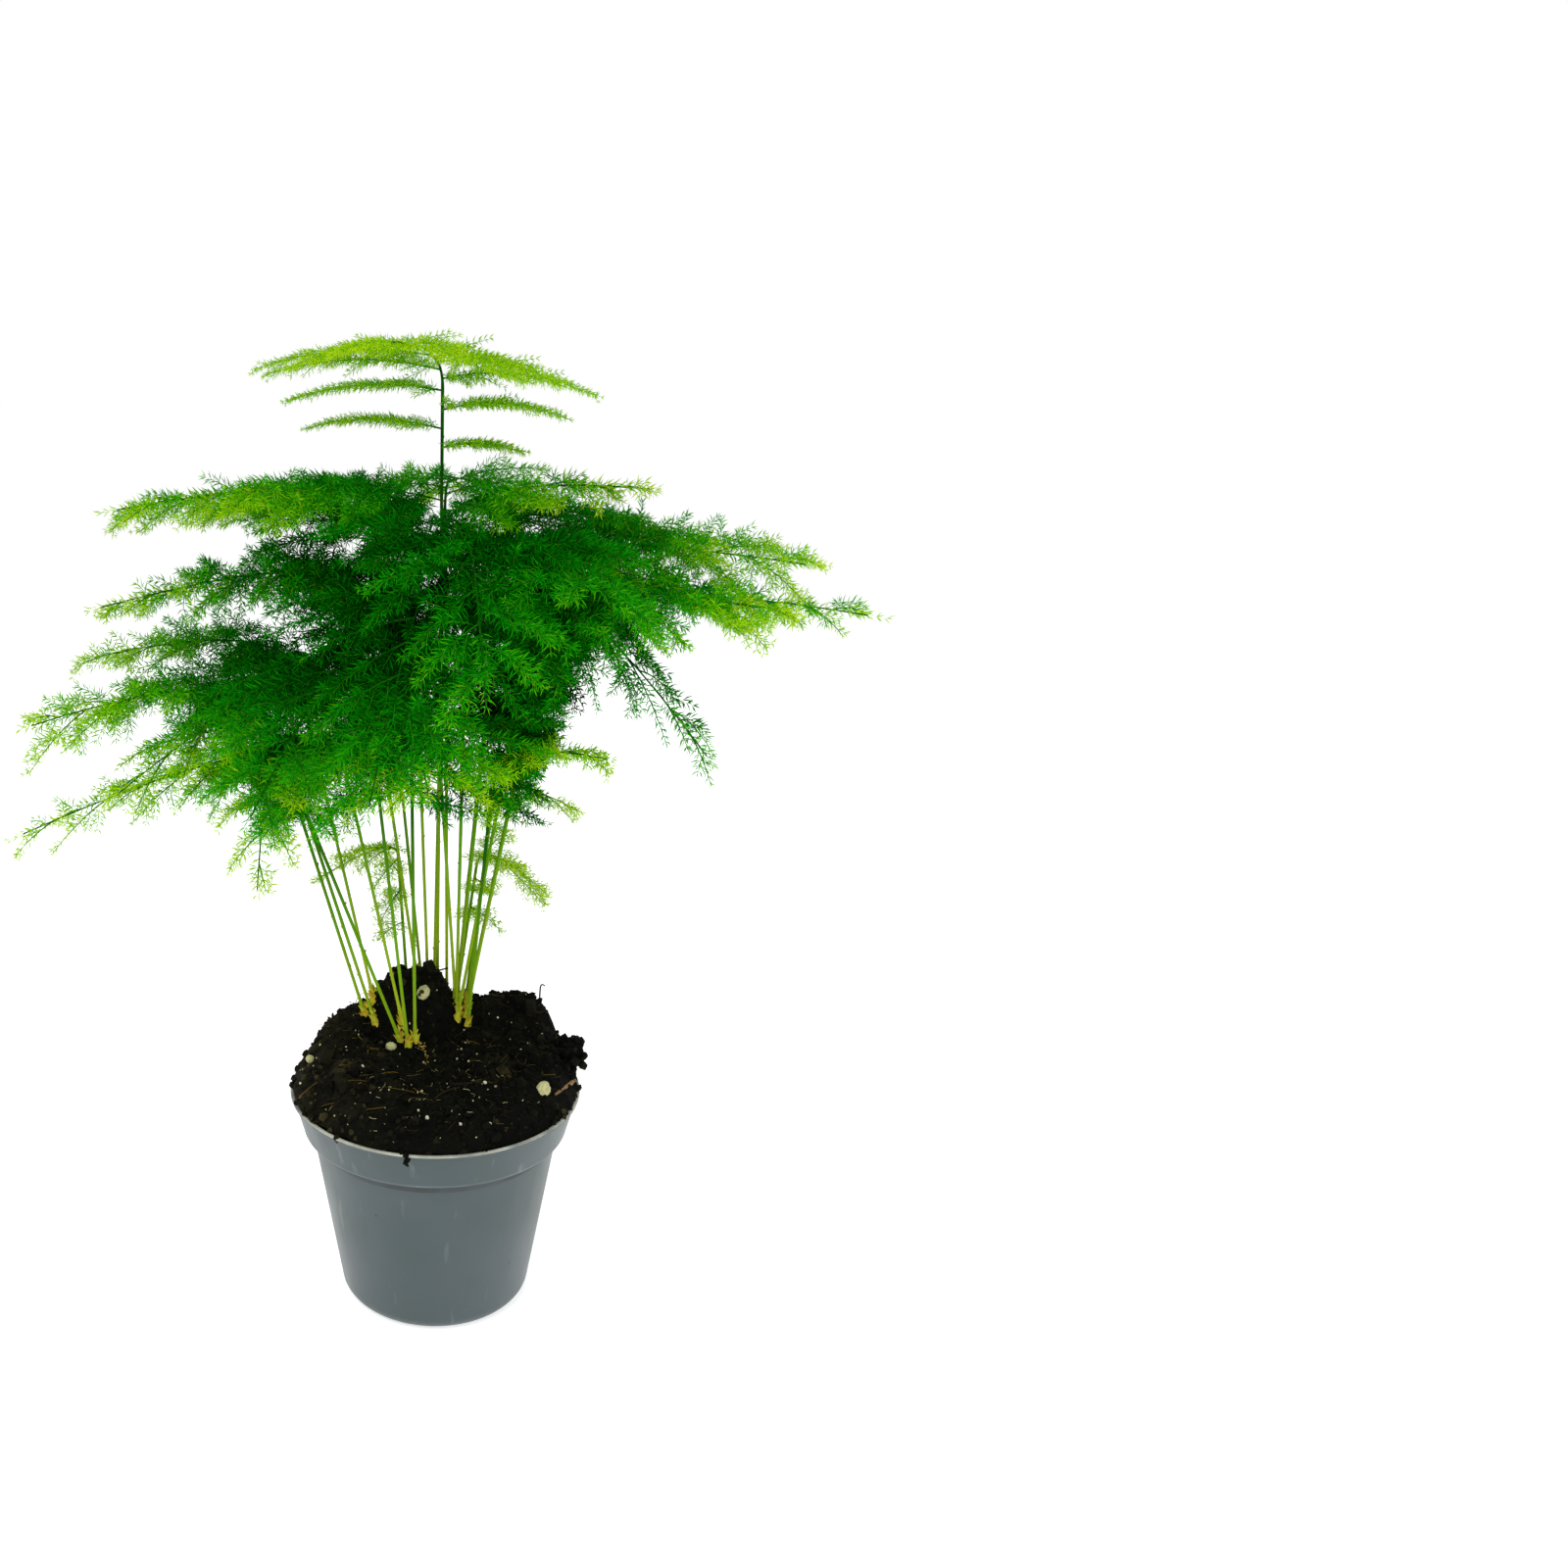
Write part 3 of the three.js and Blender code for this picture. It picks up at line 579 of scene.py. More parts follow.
def add_foot_scales(rng, parts, stem):
    """The swollen foot, bracts round it and a tiny one at each joint of the stem."""
    bulb = np.array([[stem.foot + stem.climb * d for d in (-4, 0, 5)]])
    add_tubes(parts, bulb, [[2.5, 0.66]], 8, 5, wood_tags([0.03], [0.12]))
    joints = np.arange(22, np.linalg.norm(stem.knee - stem.foot), 24)
    at = np.concatenate([rng.uniform(-1, 4, 8), joints])
    n = len(at)
    turn = rng.random(n) * 2 * math.pi
    across = unit(np.cross(stem.climb, [1.0, 0.2, 0]))
    radial = around(across, np.cross(stem.climb, across), turn)
    small = at > 12
    standing = np.where(small, 0.5, np.clip(1.7 - 0.26 * at, 0.4, 2))[:, None]
    roots = stem.foot + stem.climb * at[:, None] + radial * standing
    ways = unit(radial * np.where(small, 0.38, 0.2)[:, None] + stem.climb)
    lengths = np.where(small, 2.4, rng.uniform(2.6, 4.6, n))
    widths = np.where(small, 0.7, 1.3)
    light = np.where(small, 0.02, rng.uniform(0.03, 0.09, n))
    tags = np.repeat(tagged(light, WOOD)[:, None], 4, 1)
    add_blades(parts, roots, ways, lengths, widths, 0.0 * lengths, tags)


# Pot

def arc(centre_r, centre_z, radius_r, radius_z, start, end, steps):
    """Profile points (radius, height) along a part of an ellipse, angles in degrees."""
    angles = np.radians(np.linspace(start, end, steps))
    return [(centre_r + radius_r * math.cos(a), centre_z + radius_z * math.sin(a)) for a in angles]


def straight(start, end, shares):
    """Profile points at these shares of the way from start to end."""
    return [(start[0] + (end[0] - start[0]) * s, start[1] + (end[1] - start[1]) * s) for s in shares]


def pot_profile():
    """The pot's wall, from under its floor over the lip to the inside."""
    slope = (BODY_TOP_RADIUS - BASE_RADIUS) / COLLAR_BOTTOM
    flat = BASE_RADIUS - BASE_FILLET
    base = [
        (flat + BASE_FILLET * (math.sin(a) + slope * 2 * a / math.pi), BASE_FILLET * (1 - math.cos(a)))
        for a in np.radians(np.linspace(0, 90, 9))
    ]
    bottom = base[-1][0], BASE_FILLET
    shares = (0.02, 0.3, 0.6, 0.9, 0.975, 0.992)
    body = straight(bottom, (BODY_TOP_RADIUS, COLLAR_BOTTOM), shares)
    step = arc(COLLAR_BOTTOM_RADIUS - 1.1, COLLAR_BOTTOM + 1.5, 1.1, 1.1, -80, 0, 6)
    collar_top = COLLAR_TOP_RADIUS, POT_HEIGHT - LIP_HEIGHT - 0.5
    collar = straight((COLLAR_BOTTOM_RADIUS, COLLAR_BOTTOM + 1.5), collar_top, (0.05, 0.5, 0.95, 1))
    lip = arc(LIP_RADIUS - 1, POT_HEIGHT - LIP_HEIGHT / 2, 1, LIP_HEIGHT / 2, -62, 118, 13)
    inner = [
        (COLLAR_TOP_RADIUS - WALL, POT_HEIGHT - 1.2),
        (COLLAR_BOTTOM_RADIUS - WALL, COLLAR_BOTTOM + WALL),
        (BODY_TOP_RADIUS - WALL, COLLAR_BOTTOM + WALL / 2),
        (bottom[0] - WALL, BASE_FILLET),
        (flat, FLOOR_THICKNESS),
    ]
    groove = [(BODY_TOP_RADIUS + 0.05, COLLAR_BOTTOM), (BODY_TOP_RADIUS + 0.5, COLLAR_BOTTOM + 0.35)]
    return base + body + groove + step + collar + lip + inner


def pot_piece():
    """The pot as one turned wall, with the drain holes cut out of its floor."""
    profile = np.array(pot_profile())[:, None]
    rings = profile[..., :1] * ring(RIGHT, BACK, POT_SEGMENTS) + profile[..., 1:] * UP
    points = np.concatenate([rings.reshape(-1, 3), [[0, 0, 0], [0, 0, FLOOR_THICKNESS]]]) * MM
    under, inside = len(points) - 2, len(points) - 1
    last = (len(profile) - 1) * POT_SEGMENTS
    faces = []
    for k in range(POT_SEGMENTS):
        j = (k + 1) % POT_SEGMENTS
        faces += [(under, j, k), (inside, last + k, last + j)]
        for s in range(0, last, POT_SEGMENTS):
            faces.append((s + k, s + j, s + POT_SEGMENTS + j, s + POT_SEGMENTS + k))
    mesh = bpy.data.meshes.new("pot_body")
    mesh.from_pydata(points.tolist(), [], faces)
    pot = add_object("nursery_pot", mesh)

    drills = MeshParts()
    for centre in DRAIN_CIRCLE * ring(RIGHT, BACK, DRAIN_HOLES):
        line = np.array([[centre + k * FLOOR_THICKNESS * UP for k in (-1, 1, 3)]])
        add_tubes(drills, line, [[DRAIN_RADIUS, DRAIN_RADIUS]], 28, 1, np.zeros((1, 2, 2)))
    drill = add_object("drill", drills.mesh("drill"))
    cut = pot.modifiers.new("holes", "BOOLEAN")
    cut.object = drill
    cut.solver = "EXACT"
    bpy.context.view_layer.update()
    drilled = bpy.data.meshes.new_from_object(pot.evaluated_get(bpy.context.evaluated_depsgraph_get()))
    pot.modifiers.clear()
    pot.data = drilled
    bpy.data.objects.remove(drill)
    drilled.materials.clear()
    drilled.materials.append(plastic_material())
    while drilled.uv_layers:
        drilled.uv_layers.remove(drilled.uv_layers[0])
    drilled.shade_smooth()
    drilled.set_sharp_from_angle(angle=math.radians(40))
    return pot


# Soil

def disc_grid(count):
    """x, y of a square grid of count steps a side, bent into a unit disc."""
    side = np.linspace(-1, 1, count + 1)
    u, v = np.meshgrid(side, side, indexing="ij")
    wide = np.abs(u) > np.abs(v)
    radius = np.where(wide, u, v)
    safe_u, safe_v = np.where(u == 0, 1, u), np.where(v == 0, 1, v)
    turn = np.where(wide, math.pi / 4 * v / safe_u, math.pi / 2 - math.pi / 4 * u / safe_v)
    return radius * np.cos(turn), radius * np.sin(turn)


def rim_spill(x, y):
    """0 in front, where the pot's rim shows, and 1 where the soil lies over it."""
    return np.clip((y + 42) / 20, 0, 1) * np.clip(1.3 * np.hypot(x, y) / 50, 0, 1)


def soil_surface(x, y):
    """Height and lumpiness of the visible soil at x, y."""
    spill = rim_spill(x, y)
    edge_radius = VISIBLE_RADIUS + SPILL_REACH * spill
    edge = np.minimum(1, np.hypot(x, y) / edge_radius)
    relief = soil_relief(x, y) * (1 - 0.75 * edge**10)
    return soil_height(x, y, edge_radius, VISIBLE_EDGE + SPILL_RISE * spill) + relief, relief


def olive(x, y):
    """1 on the left and back edges of the soil, 0 in the middle; it makes them lighter and more olive."""
    return np.clip((0.9 * np.hypot(x, y) - 0.55 * x + 0.25 * y - 28) / 40, 0, 1)


def add_root_ball(parts):
    """The root ball: a lumpy top, and a plain side and bottom inside the pot."""
    n = SOIL_GRID
    x, y = disc_grid(n)
    turn = np.arctan2(y, x)
    ragged = 0.9 * value_noise(30 * np.cos(turn), 30 * np.sin(turn), 2.2, SOIL_SEED + 9)
    reach = BALL_RADIUS + SPILL_REACH * rim_spill(BALL_RADIUS * x, BALL_RADIUS * y) + ragged
    x, y = x * reach, y * reach
    z, relief = soil_surface(x, y)
    top = np.stack([x, y, z], -1).reshape(-1, 3)
    index = np.arange((n + 1) ** 2).reshape(n + 1, n + 1)
    a, b, c, d = map(np.ravel, (index[:-1, :-1], index[1:, :-1], index[1:, 1:], index[:-1, 1:]))
    faces = [np.stack([a, b, c], -1), np.stack([a, c, d], -1)]
    border = np.concatenate([index[:-1, 0], index[-1, :-1], index[:0:-1, -1], index[0, :0:-1]])
    rim = top[border]
    way = around(RIGHT, BACK, np.arctan2(rim[:, 1], rim[:, 0]))
    inset = WALL + FIT_GAP
    slope = (BODY_TOP_RADIUS - BASE_RADIUS) / COLLAR_BOTTOM
    tucked = TUCKED_RADIUS * way + (rim[:, 2:] - 0.6) * UP
    rings = [rim - (0, 0, 0.5), tucked]
    for radius, height in (
        (COLLAR_TOP_RADIUS - inset - 0.6, POT_HEIGHT - 1.6),
        (COLLAR_BOTTOM_RADIUS - inset - 0.2, COLLAR_BOTTOM + 4),
        (BODY_TOP_RADIUS - inset - 0.4, COLLAR_BOTTOM + WALL + FIT_GAP),
        (BASE_RADIUS + slope * BASE_FILLET - inset - 0.4, BASE_FILLET + FIT_GAP),
        (BASE_RADIUS - BASE_FILLET - 1, FLOOR_THICKNESS + FIT_GAP),
    ):
        rings.append(radius * way + height * UP)
    count = len(border)
    start = len(top)
    loops = [border] + [np.arange(count) + start + k * count for k in range(len(rings))]
    for upper, lower in zip(loops, loops[1:]):
        next_upper, next_lower = np.roll(upper, -1), np.roll(lower, -1)
        faces.append(np.stack([upper, lower, next_lower], -1))
        faces.append(np.stack([upper, next_lower, next_upper], -1))
    centre = np.full(count, start + len(rings) * count)
    faces.append(np.stack([loops[-1], centre, np.roll(loops[-1], -1)], -1))
    points = np.concatenate([top, *rings, [[0, 0, FLOOR_THICKNESS + FIT_GAP]]])
    grain = 0.5 * value_noise(x, y, 0.9, SOIL_SEED + 20) + 0.5 * value_noise(x, y, 9, SOIL_SEED + 21)
    # lighter on the lumps and darker in the hollows of the relief: painted light and shade
    light = np.clip(0.22 + 0.08 * relief + 0.56 * grain + 0.26 * olive(x, y), 0.02, 0.9).ravel()
    light = np.concatenate([light, np.full(len(points) - len(light), 0.2)])
    parts.add(points, np.concatenate(faces), tagged(light, EARTH))


def icosphere(level):
    """Points and triangles of a unit icosphere."""
    g = (1 + 5**0.5) / 2
    points = [(-1, g, 0), (1, g, 0), (-1, -g, 0), (1, -g, 0), (0, -1, g), (0, 1, g)]
    points += [(0, -1, -g), (0, 1, -g), (g, 0, -1), (g, 0, 1), (-g, 0, -1), (-g, 0, 1)]
    faces = [(0, 11, 5), (0, 5, 1), (0, 1, 7), (0, 7, 10), (0, 10, 11), (1, 5, 9), (5, 11, 4)]
    faces += [(11, 10, 2), (10, 7, 6), (7, 1, 8), (3, 9, 4), (3, 4, 2), (3, 2, 6), (3, 6, 8), (3, 8, 9)]
    faces += [(4, 9, 5), (2, 4, 11), (6, 2, 10), (8, 6, 7), (9, 8, 1)]
    for _ in range(level):
        middles, finer = {}, []
        for a, b, c in faces:
            between = []
            for pair in ((a, b), (b, c), (c, a)):
                key = tuple(sorted(pair))
                if key not in middles:
                    middles[key] = len(points)
                    points.append(tuple((p + q) / 2 for p, q in zip(points[key[0]], points[key[1]])))
                between.append(middles[key])
            ab, bc, ca = between
            finer += [(a, ab, ca), (b, bc, ab), (c, ca, bc), (ab, bc, ca)]
        faces = finer
    return unit(np.array(points, float)), np.array(faces)


def add_lumps(rng, parts, centres, sizes, tones, kind, level=0, rough=0.3, flat=(1, 1, 1)):
    """Closed crumbs of random form and turn; flat squeezes them on their own axes."""
    ball, faces = icosphere(level)
    n, m = len(centres), len(ball)
    w, x, y, z = unit(rng.normal(size=(n, 4))).T
    rotation = np.array([
        [1 - 2 * (y * y + z * z), 2 * (x * y - z * w), 2 * (x * z + y * w)],
        [2 * (x * y + z * w), 1 - 2 * (x * x + z * z), 2 * (y * z - x * w)],
        [2 * (x * z - y * w), 2 * (y * z + x * w), 1 - 2 * (x * x + y * y)],
    ]).transpose(2, 0, 1)
    swell = rng.uniform(1 - rough, 1 + rough, (n, m, 1))
    local = ball * swell * np.asarray(flat) * np.asarray(sizes)[:, None, None]
    points = np.einsum("nij,nmj->nmi", rotation, local) + np.asarray(centres)[:, None]
    light = np.clip(np.asarray(tones)[:, None] + rng.normal(0, 0.05, (n, m)), 0.02, 0.98)
    parts.add(points, copies(faces, n, m), tagged(light, kind))


def on_soil(x, y, lift=0.0):
    """Points at x, y on the visible soil, or lifted off it."""
    return np.stack([x, y, soil_surface(x, y)[0] + lift], -1)


def scatter(rng, count, reach=58.5):
    """Seeded places on the soil as x, y."""
    radius = reach * rng.random(count) ** 0.5
    turn = rng.random(count) * 2 * math.pi
    return radius * np.cos(turn), radius * np.sin(turn)


def add_fibres(rng, parts, starts, lengths, radius, tones, curl=0.35, rise=0.1, kind=ROOT):
    """Fine roots and fibres that lie on the soil or stand a little off it."""
    n = len(starts)
    turn = rng.random(n) * 2 * math.pi
    way = np.stack([np.cos(turn), np.sin(turn), rng.normal(rise, 0.22, n)], -1)
    side = np.stack([-np.sin(turn), np.cos(turn), rng.normal(0, 0.3, n)], -1)
    bend = rng.normal(0, curl, n)[:, None] * side
    size = np.asarray(lengths)[:, None]
    middle = starts + (way * 0.5 + bend) * size
    end = starts + way * size + (0, 0, -0.06) * size
    tags = tagged(np.stack([tones, tones], -1), kind)
    radii = np.tile([radius, 0.6 * radius], (n, 1))
    add_tubes(parts, np.stack([starts, middle, end], 1), radii, 3, 3, tags)


def add_crumbs(rng, parts):
    """Crumbs on the ball and its rim, and the clod over the right edge."""
    # finer ones more often, sunk to about half
    x, y = scatter(rng, CRUMBS)
    size = rng.gamma(2.0, 0.28, CRUMBS) + 0.3
    tones = rng.normal(0.28, 0.15, CRUMBS) + 0.2 * olive(x, y)
    add_lumps(rng, parts, on_soil(x, y, 0.1), size, tones, EARTH, 0, 0.4)
    x, y = scatter(rng, LARGE_CRUMBS, 55)
    size = rng.uniform(1.3, 2.6, LARGE_CRUMBS)
    tones = rng.normal(0.24, 0.08, LARGE_CRUMBS)
    add_lumps(rng, parts, on_soil(x, y, 0.1), size, tones, EARTH, 1, 0.34)

    # on the rim where the soil lies over it, and a few that hang over it in front
    turn = np.radians(rng.uniform(-38, 218, RIM_CRUMBS))
    radius = rng.normal(58.2, 0.7, RIM_CRUMBS)
    centres = [radius * np.cos(turn), radius * np.sin(turn), rng.normal(93.0, 0.5, RIM_CRUMBS)]
    size = rng.uniform(0.6, 1.5, RIM_CRUMBS)
    tones = rng.normal(0.34, 0.12, RIM_CRUMBS)
    add_lumps(rng, parts, np.stack(centres, -1), size, tones, EARTH)
    over = [(-10.9, -58.6, 91.9), (-10.6, -60.1, 91.0), (-11.1, -60.5, 89.9), (-10.5, -60.4, 88.9)]
    add_lumps(rng, parts, over, [1.3, 1.2, 1.0, 0.7], np.full(4, 0.25), EARTH)

    clod = np.array([56.8, 5.0, 102.6]) + rng.normal(size=(CLOD_CRUMBS, 3)) * (2.4, 3.4, 2.6)
    clod = clod[np.hypot(clod[:, 0], clod[:, 1]) < 62.5]
    size = rng.uniform(0.8, 2.4, len(clod))
    add_lumps(rng, parts, clod, size, rng.normal(0.26, 0.1, len(clod)), EARTH)
    lengths = rng.uniform(2, 4.5, CLOD_FIBRES)
    add_fibres(rng, parts, clod[:CLOD_FIBRES], lengths, 0.14, rng.uniform(0.1, 0.4, CLOD_FIBRES))


def add_perlite(rng, parts):
    """Perlite: the large grains seen, one with two dark spots, then small ones."""
    x, y = np.array([(-5.0, 18.6), (43.2, -24.6), (-18.3, 1.4), (-52.0, 2.0)]).T
    large = on_soil(x, y, 0.9)
    add_lumps(rng, parts, large, [3.2, 3.2, 2.2, 2.0], np.full(4, 0.3), PERLITE, 2, 0.09, (1, 0.88, 0.84))
    spots = large[0] + np.array([(-0.6, -2.6, 1.4), (-1.5, -2.3, 0.1)])
    add_lumps(rng, parts, spots, [0.9, 0.75], [0.3, 0.2], BARK, 1)
    x, y = scatter(rng, PERLITE_GRAINS, 57)
    size = rng.uniform(0.2, 0.55, PERLITE_GRAINS)
    add_lumps(rng, parts, on_soil(x, y, 0.3), size, rng.uniform(0.1, 0.6, PERLITE_GRAINS), PERLITE)
    seen = [(-29.3, -15.4), (19.8, -25.2), (9.8, -47.0), (-3.0, -44.0), (21.0, -46.0), (34.0, -32.0)]
    x, y = np.array(seen).T
    add_lumps(rng, parts, on_soil(x, y, 0.5), np.full(6, 0.8), np.full(6, 0.7), PERLITE)


def add_chips(rng, parts):
    """Bark and wood chips, and the golden grains below the middle crown."""
    x, y = np.array([(27.0, 40.0), (-44.0, 24.0)]).T
    add_lumps(rng, parts, on_soil(x, y, 0.4), [2.4, 2.4], [0.5, 0.4], BARK, 1, 0.12, (1, 0.3, 0.14))
    x, y = scatter(rng, BARK_CHIPS, 56)
    size, tones = rng.uniform(0.8, 2.0, BARK_CHIPS), rng.uniform(0.05, 0.6, BARK_CHIPS)
    add_lumps(rng, parts, on_soil(x, y, 0.2), size, tones, BARK, 0, 0.2, (1, 0.35, 0.2))

    t = rng.random(GOLDEN_GRAINS)
    x = -5.9 + 3.4 * t + rng.normal(0, 0.9, GOLDEN_GRAINS)
    y = 7 - 23 * t + rng.normal(0, 1.0, GOLDEN_GRAINS)
    size = rng.uniform(0.25, 0.55, GOLDEN_GRAINS)
    add_lumps(rng, parts, on_soil(x, y, 0.3), size, rng.uniform(0.75, 0.95, GOLDEN_GRAINS), ROOT)


def add_roots(rng, parts):
    """Fibres, pale ones in front, the hooked one, the heap's twig and two slivers of bark."""
    x, y = scatter(rng, FIBRES, 51)
    lengths = rng.uniform(2, 7.5, FIBRES)
    add_fibres(rng, parts, on_soil(x, y, 0.1), lengths, 0.12, 0.8 * rng.beta(1.2, 2.6, FIBRES), 0.5)
    x, y = scatter(rng, LONG_FIBRES, 44)
    lengths, tones = rng.uniform(8, 14, LONG_FIBRES), rng.uniform(0.15, 0.5, LONG_FIBRES)
    add_fibres(rng, parts, on_soil(x, y, 0.2), lengths, 0.18, tones, 0.3, 0.02)
    x, y = rng.normal(4, 20, PALE_FIBRES), rng.normal(-29, 14, PALE_FIBRES)
    inside = np.hypot(x, y) < 54
    starts = on_soil(x[inside], y[inside], 0.35)
    lengths, tones = rng.uniform(0.8, 3.4, len(starts)), rng.uniform(0, 0.45, len(starts))
    add_fibres(rng, parts, starts, lengths, 0.11, tones, 0.5, 0.15, PERLITE)

    lines = np.array([
        [(45.4, 30, 108.0), (45.0, 30, 115.0), (45.4, 30, 121.6)],
        [(45.4, 30, 121.4), (45.6, 30, 123.8), (47.4, 30, 122.2)],
        [(-9, 28, 127.0), (-2, 28, 129.4), (5.5, 28, 131.4)],
        [(-2.5, 28, 129.0), (0.5, 28, 128.6), (4.5, 28, 126.2)],
    ])
    radii = [[0.42, 0.36], [0.36, 0.3], [0.6, 0.35], [0.4, 0.25]]
    add_tubes(parts, lines, radii, 5, 6, tagged(np.full((4, 2), 0.12), ROOT))
    ends = np.array([
        [(57.4, -6.5), (53.5, -15.0), (48.0, -24.5)],
        [(-55.0, -19.5), (-51.0, -18.6), (-47.4, -18.2)],
    ])
    slivers = on_soil(ends[..., 0], ends[..., 1], 0.5)
    tags = tagged([[0.9, 0.7], [0.6, 0.4]], BARK)
    add_tubes(parts, slivers, [[1.0, 0.5], [0.6, 0.35]], 5, 5, tags)


def soil_mesh():
    rng = np.random.default_rng(SOIL_SEED)
    parts = MeshParts()
    add_root_ball(parts)
    for add in (add_crumbs, add_perlite, add_chips, add_roots):
        add(rng, parts)
    return parts.mesh("peat_mix")


# Materials

def srgb(value):
    c = value / 255
    return c / 12.92 if c <= 0.04045 else ((c + 0.055) / 1.055) ** 2.4


class Nodes:
    """The nodes of a material or the world, with short ways to add more; colours are sRGB, 0-255."""

    def __init__(self, data, shader="Principled BSDF"):
        self.data = data
        data.use_nodes = True
        self.nodes, self.links = data.node_tree.nodes, data.node_tree.links
        self.shader = self.nodes[shader]

    def feed(self, node, inputs):
        """Links inputs of a node to sockets, or sets colours (tuples) and numbers on them."""
        for key, value in inputs.items():
            if isinstance(value, bpy.types.NodeSocket):
                self.links.new(value, node.inputs[key])
            else:
                colour = isinstance(value, tuple)
                node.inputs[key].default_value = (*map(srgb, value), 1) if colour else value

    def finish(self, inputs):
        """Feeds the shader; gives the material or the world."""
        self.feed(self.shader, inputs)
        return self.data

    def add(self, kind, inputs, output=0, **settings):
        """Adds a node; gives one of its outputs."""
        node = self.nodes.new("ShaderNode" + kind)
        for name, value in settings.items():
            setattr(node, name, value)
        self.feed(node, inputs)
        return node.outputs[output]

    def maths(self, operation, first, second):
        return self.add("Math", {0: first, 1: second}, operation=operation)

    def between(self, value, low, high, to_low=0.0, to_high=1.0):
        names = ("Value", "From Min", "From Max", "To Min", "To Max")
        return self.add("MapRange", dict(zip(names, (value, low, high, to_low, to_high))))

    def mixed(self, factor, low, high):
        return self.add("Mix", {"Factor": factor, 6: low, 7: high}, 2, data_type="RGBA")

    def ramp(self, value, *stops):
        """A colour for value, from stops of (position, colour)."""
        out = self.add("ValToRGB", {0: value})
        elements = out.node.color_ramp.elements
        while len(elements) < len(stops):
            elements.new(0.5)
        for element, (position, colour) in zip(elements, stops):
            element.position = position
            element.color = (*map(srgb, colour), 1)
        return out

    def split(self, vector):
        return self.add("SeparateXYZ", {0: vector}).node.outputs

    def tag(self):
        """The two numbers of each point's tag."""
        return self.split(self.add("UVMap", {}, uv_map="Fern"))[:2]

    def noise_at(self, place, scale, stretch=(1, 1, 1), detail=3):
        placed = self.add("Mapping", {"Vector": place, "Scale": Vector(stretch)})
        return self.add("TexNoise", {"Vector": placed, "Scale": scale, "Detail": detail}, "Fac")


def soil_material():
    """Colour by tag: the first number says how light, the second the kind of matter."""
    made = Nodes(bpy.data.materials.new("peat_mix"))
    light, kind = made.tag()
    colour = made.ramp(light, (0, (2, 3, 1)), (0.3, (7, 8, 3)), (0.6, (30, 28, 14)), (1, (94, 84, 48)))
    for lowest, *stops in (
        (0.25, (0, (128, 124, 92)), (0.3, (196, 194, 140)), (0.7, (214, 212, 186)), (1, (240, 238, 226))),
        (0.5, (0, (28, 22, 12)), (0.5, (76, 58, 32)), (1, (176, 142, 100))),
        (0.75, (0, (20, 18, 7)), (0.4, (62, 53, 25)), (0.75, (152, 122, 38)), (1, (210, 188, 100))),
    ):
        colour = made.mixed(made.maths("GREATER_THAN", kind, lowest), colour, made.ramp(light, *stops))
    return made.finish({"Base Color": colour, "Roughness": 0.85, "Specular IOR Level": 0.1})


def fern_material():
    """Colour by tag: the first number says how young, with painted light and shade in it, the second
    needle or wood.
    """
    made = Nodes(bpy.data.materials.new("fern"))
    youth, kind = made.tag()
    needles = made.ramp(
        youth,
        (0, (0, 44, 0)), (0.2, (0, 90, 0)), (0.4, (3, 132, 2)),
        (0.6, (46, 164, 2)), (0.8, (124, 192, 4)), (1, (178, 212, 24)),
    )
    # scales and feet up to 0.1, the wire up to 0.66, and twigs above
    wood = made.ramp(
        youth,
        (0, (120, 84, 40)), (0.03, (206, 156, 42)), (0.06, (220, 200, 60)), (0.1, (188, 200, 50)),
        (0.2, (148, 178, 34)), (0.4, (96, 150, 18)), (0.66, (16, 84, 6)),
        (0.8, (30, 126, 8)), (0.98, (122, 184, 22)),
    )
    colour = made.mixed(made.maths("GREATER_THAN", kind, 0.5), needles, wood)
    return made.finish({"Base Color": colour, "Roughness": 0.7, "Specular IOR Level": 0.02})


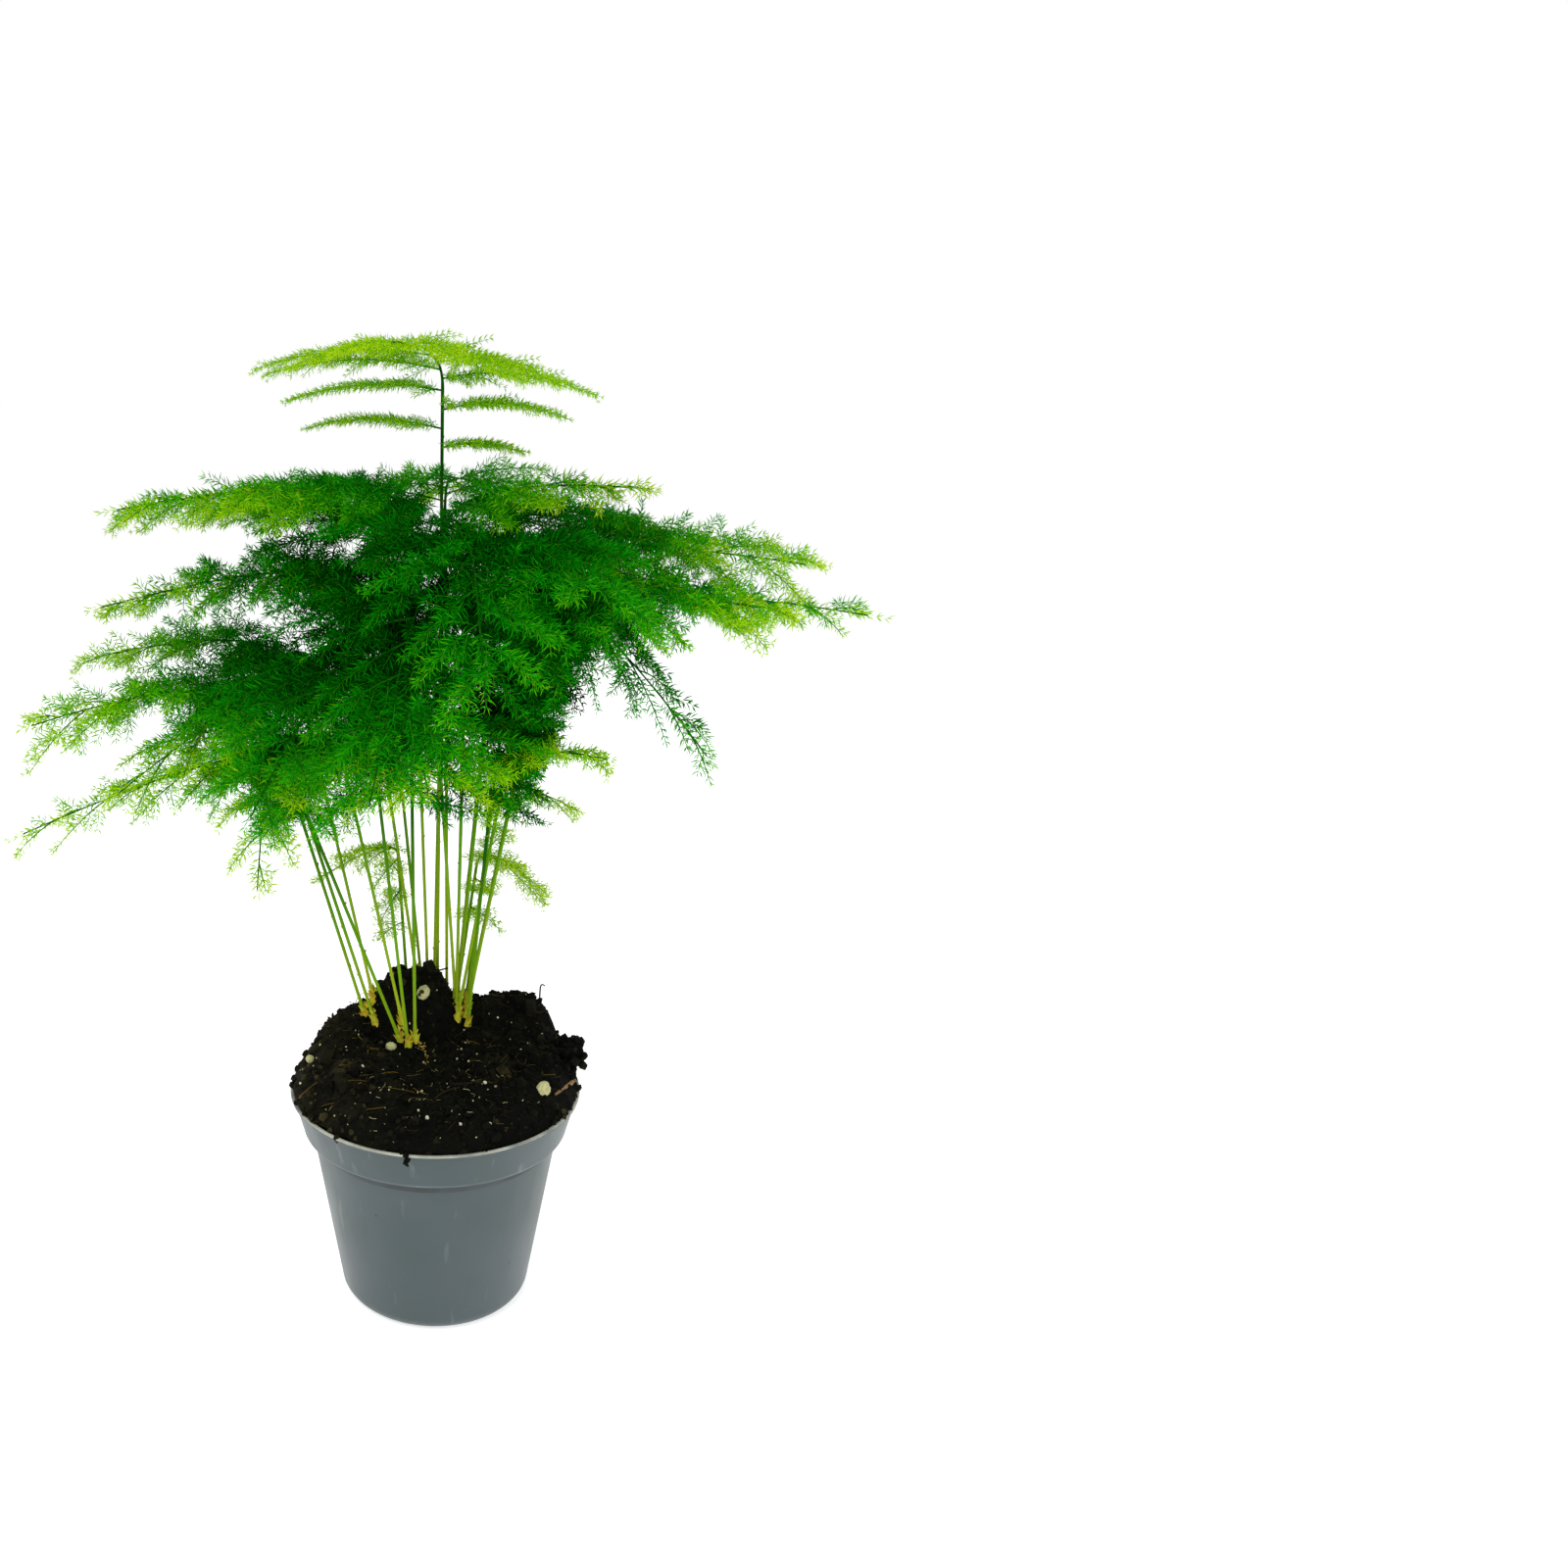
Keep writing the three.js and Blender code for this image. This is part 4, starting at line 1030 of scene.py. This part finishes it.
def plastic_material():
    """Satin grey plastic: mottled, with water marks and specks of dirt, painted shade and painted
    highlights.
    """
    made = Nodes(bpy.data.materials.new("pot_plastic"))
    place = made.add("TexCoord", {}, "Object")
    # the water marks' colour, which also paints a highlight on the collar's edge
    water_mark_and_highlight = (150, 160, 158)
    colour = made.mixed(made.between(made.noise_at(place, 28), 0.35, 0.65), (55, 70, 71), (62, 75, 79))
    streaks = made.noise_at(place, 3.2, (70, 70, 5), 4)
    colour = made.mixed(made.between(streaks, 0.64, 0.78, 0.0, 0.24), colour, water_mark_and_highlight)

    # specks in a few cells of a Voronoi texture
    distance = made.add("TexVoronoi", {"Vector": place, "Scale": 130}, "Distance")
    near = made.between(distance, 0.05, 0.09, 1.0, 0.0)
    chosen = made.between(made.split(distance.node.outputs["Color"])[0], 0.93, 0.94)
    colour = made.mixed(made.maths("MULTIPLY", near, chosen), colour, (34, 36, 32))

    # painted shade under the collar, and painted highlights on its edge and the lip's
    height = made.split(place)[2]
    patchy = made.between(made.noise_at(place, 60), 0.3, 0.6, 0.25, 1.0)
    for low, high, soft, strength, tint in (
        # painted shade under the collar's overhang
        (COLLAR_BOTTOM - 3.4, COLLAR_BOTTOM + 0.35, 0.8, 0.85, (30, 36, 38)),
        # painted highlight along the collar's rounded edge
        (COLLAR_BOTTOM + 0.9, COLLAR_BOTTOM + 1.5, 0.3, 0.2, water_mark_and_highlight),
        # painted highlight along the top of the lip
        (POT_HEIGHT - 0.45, POT_HEIGHT + 1, 0.25, 0.8, (206, 206, 190)),
    ):
        above = made.between(height, (low - soft) * MM, low * MM)
        below = made.between(height, high * MM, (high + soft) * MM, strength, 0.0)
        band = made.maths("MULTIPLY", made.maths("MULTIPLY", above, below), patchy)
        colour = made.mixed(band, colour, tint)
    satin = made.between(made.noise_at(place, 90, (1, 1, 0.4)), 0.3, 0.7, 0.32, 0.42)
    grain = {"Height": made.noise_at(place, 700), "Strength": 0.06, "Distance": 0.0004}
    return made.finish({"Base Color": colour, "Roughness": satin, "Normal": made.add("Bump", grain)})


def add_object(name, data, *materials):
    obj = bpy.data.objects.new(name, data)
    bpy.context.scene.collection.objects.link(obj)
    for m in materials:
        data.materials.append(m)
    return obj


# Pieces

FERN = fern_material()
for index, row in enumerate(STEMS):
    stem = Stem(index, row)
    piece = add_object("leafy_" + stem.name, foliage(stem).mesh("leafy_" + stem.name), FERN)
    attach(piece, "root")
    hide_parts("stem_" + stem.name)

pot = pot_piece()
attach(pot, "root")
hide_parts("pot")

soil = add_object("peat_mix", soil_mesh(), soil_material())
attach(soil, "root")
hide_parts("soil")

# Light and camera, in metres; each light's name, place, what it points at, size, power in watts

LIGHTS = (
    ("key", (-0.6, -1.0, 1.7), (0, 0, 0.2), 0.9, 13),
    ("fill", (1.0, -0.8, 0.8), (0, 0, 0.2), 1.0, 4),
    ("low", (-0.2, -1.5, 0.3), (0, 0, 0.2), 0.8, 4),
    ("back", (0.2, 1.3, 1.2), (0, 0, 0.22), 1.0, 6),
)


def stage_floor():
    half = 40
    mesh = bpy.data.meshes.new("floor")
    corners = [(-half, -half, 0), (half, -half, 0), (half, half, 0), (-half, half, 0)]
    mesh.from_pydata(corners, [], [(0, 1, 2, 3)])
    white = {"Base Color": [0.9, 0.9, 0.9, 1], "Roughness": 0.9}
    glow = {"Emission Color": [1, 1, 1, 1], "Emission Strength": 0.6}
    made = Nodes(bpy.data.materials.new("floor_white")).finish(white | glow)
    floor = add_object("floor", mesh, made)


def studio():
    sky = Nodes(bpy.data.worlds.new("studio"), "Background")
    # weaker where it lights the plant than where it is seen
    strength = sky.between(sky.add("LightPath", {}, "Is Camera Ray"), 0, 1, 0.45, 1)
    bpy.context.scene.world = sky.finish({"Color": [1, 1, 1, 1], "Strength": strength})
    for name, location, target, size, power in LIGHTS:
        data = bpy.data.lights.new(name, "AREA")
        data.size, data.energy = size, power
        obj = add_object(name, data)
        obj.location = location
        obj.rotation_euler = (Vector(target) - Vector(location)).to_track_quat("-Z", "Y").to_euler()


def camera():
    data = bpy.data.cameras.new("photo")
    data.lens, data.sensor_width = 32.4, 36
    data.shift_x = 0.2225  # the plant stands in the photo's left part
    obj = add_object("photo", data)
    obj.location = (0, -0.5333, 0.3688)
    down = 15.5  # degrees
    obj.rotation_euler = (math.radians(90 - down), 0, 0)
    bpy.context.scene.camera = obj
    bpy.context.scene.view_settings.view_transform = "Standard"


stage_floor()
studio()
camera()
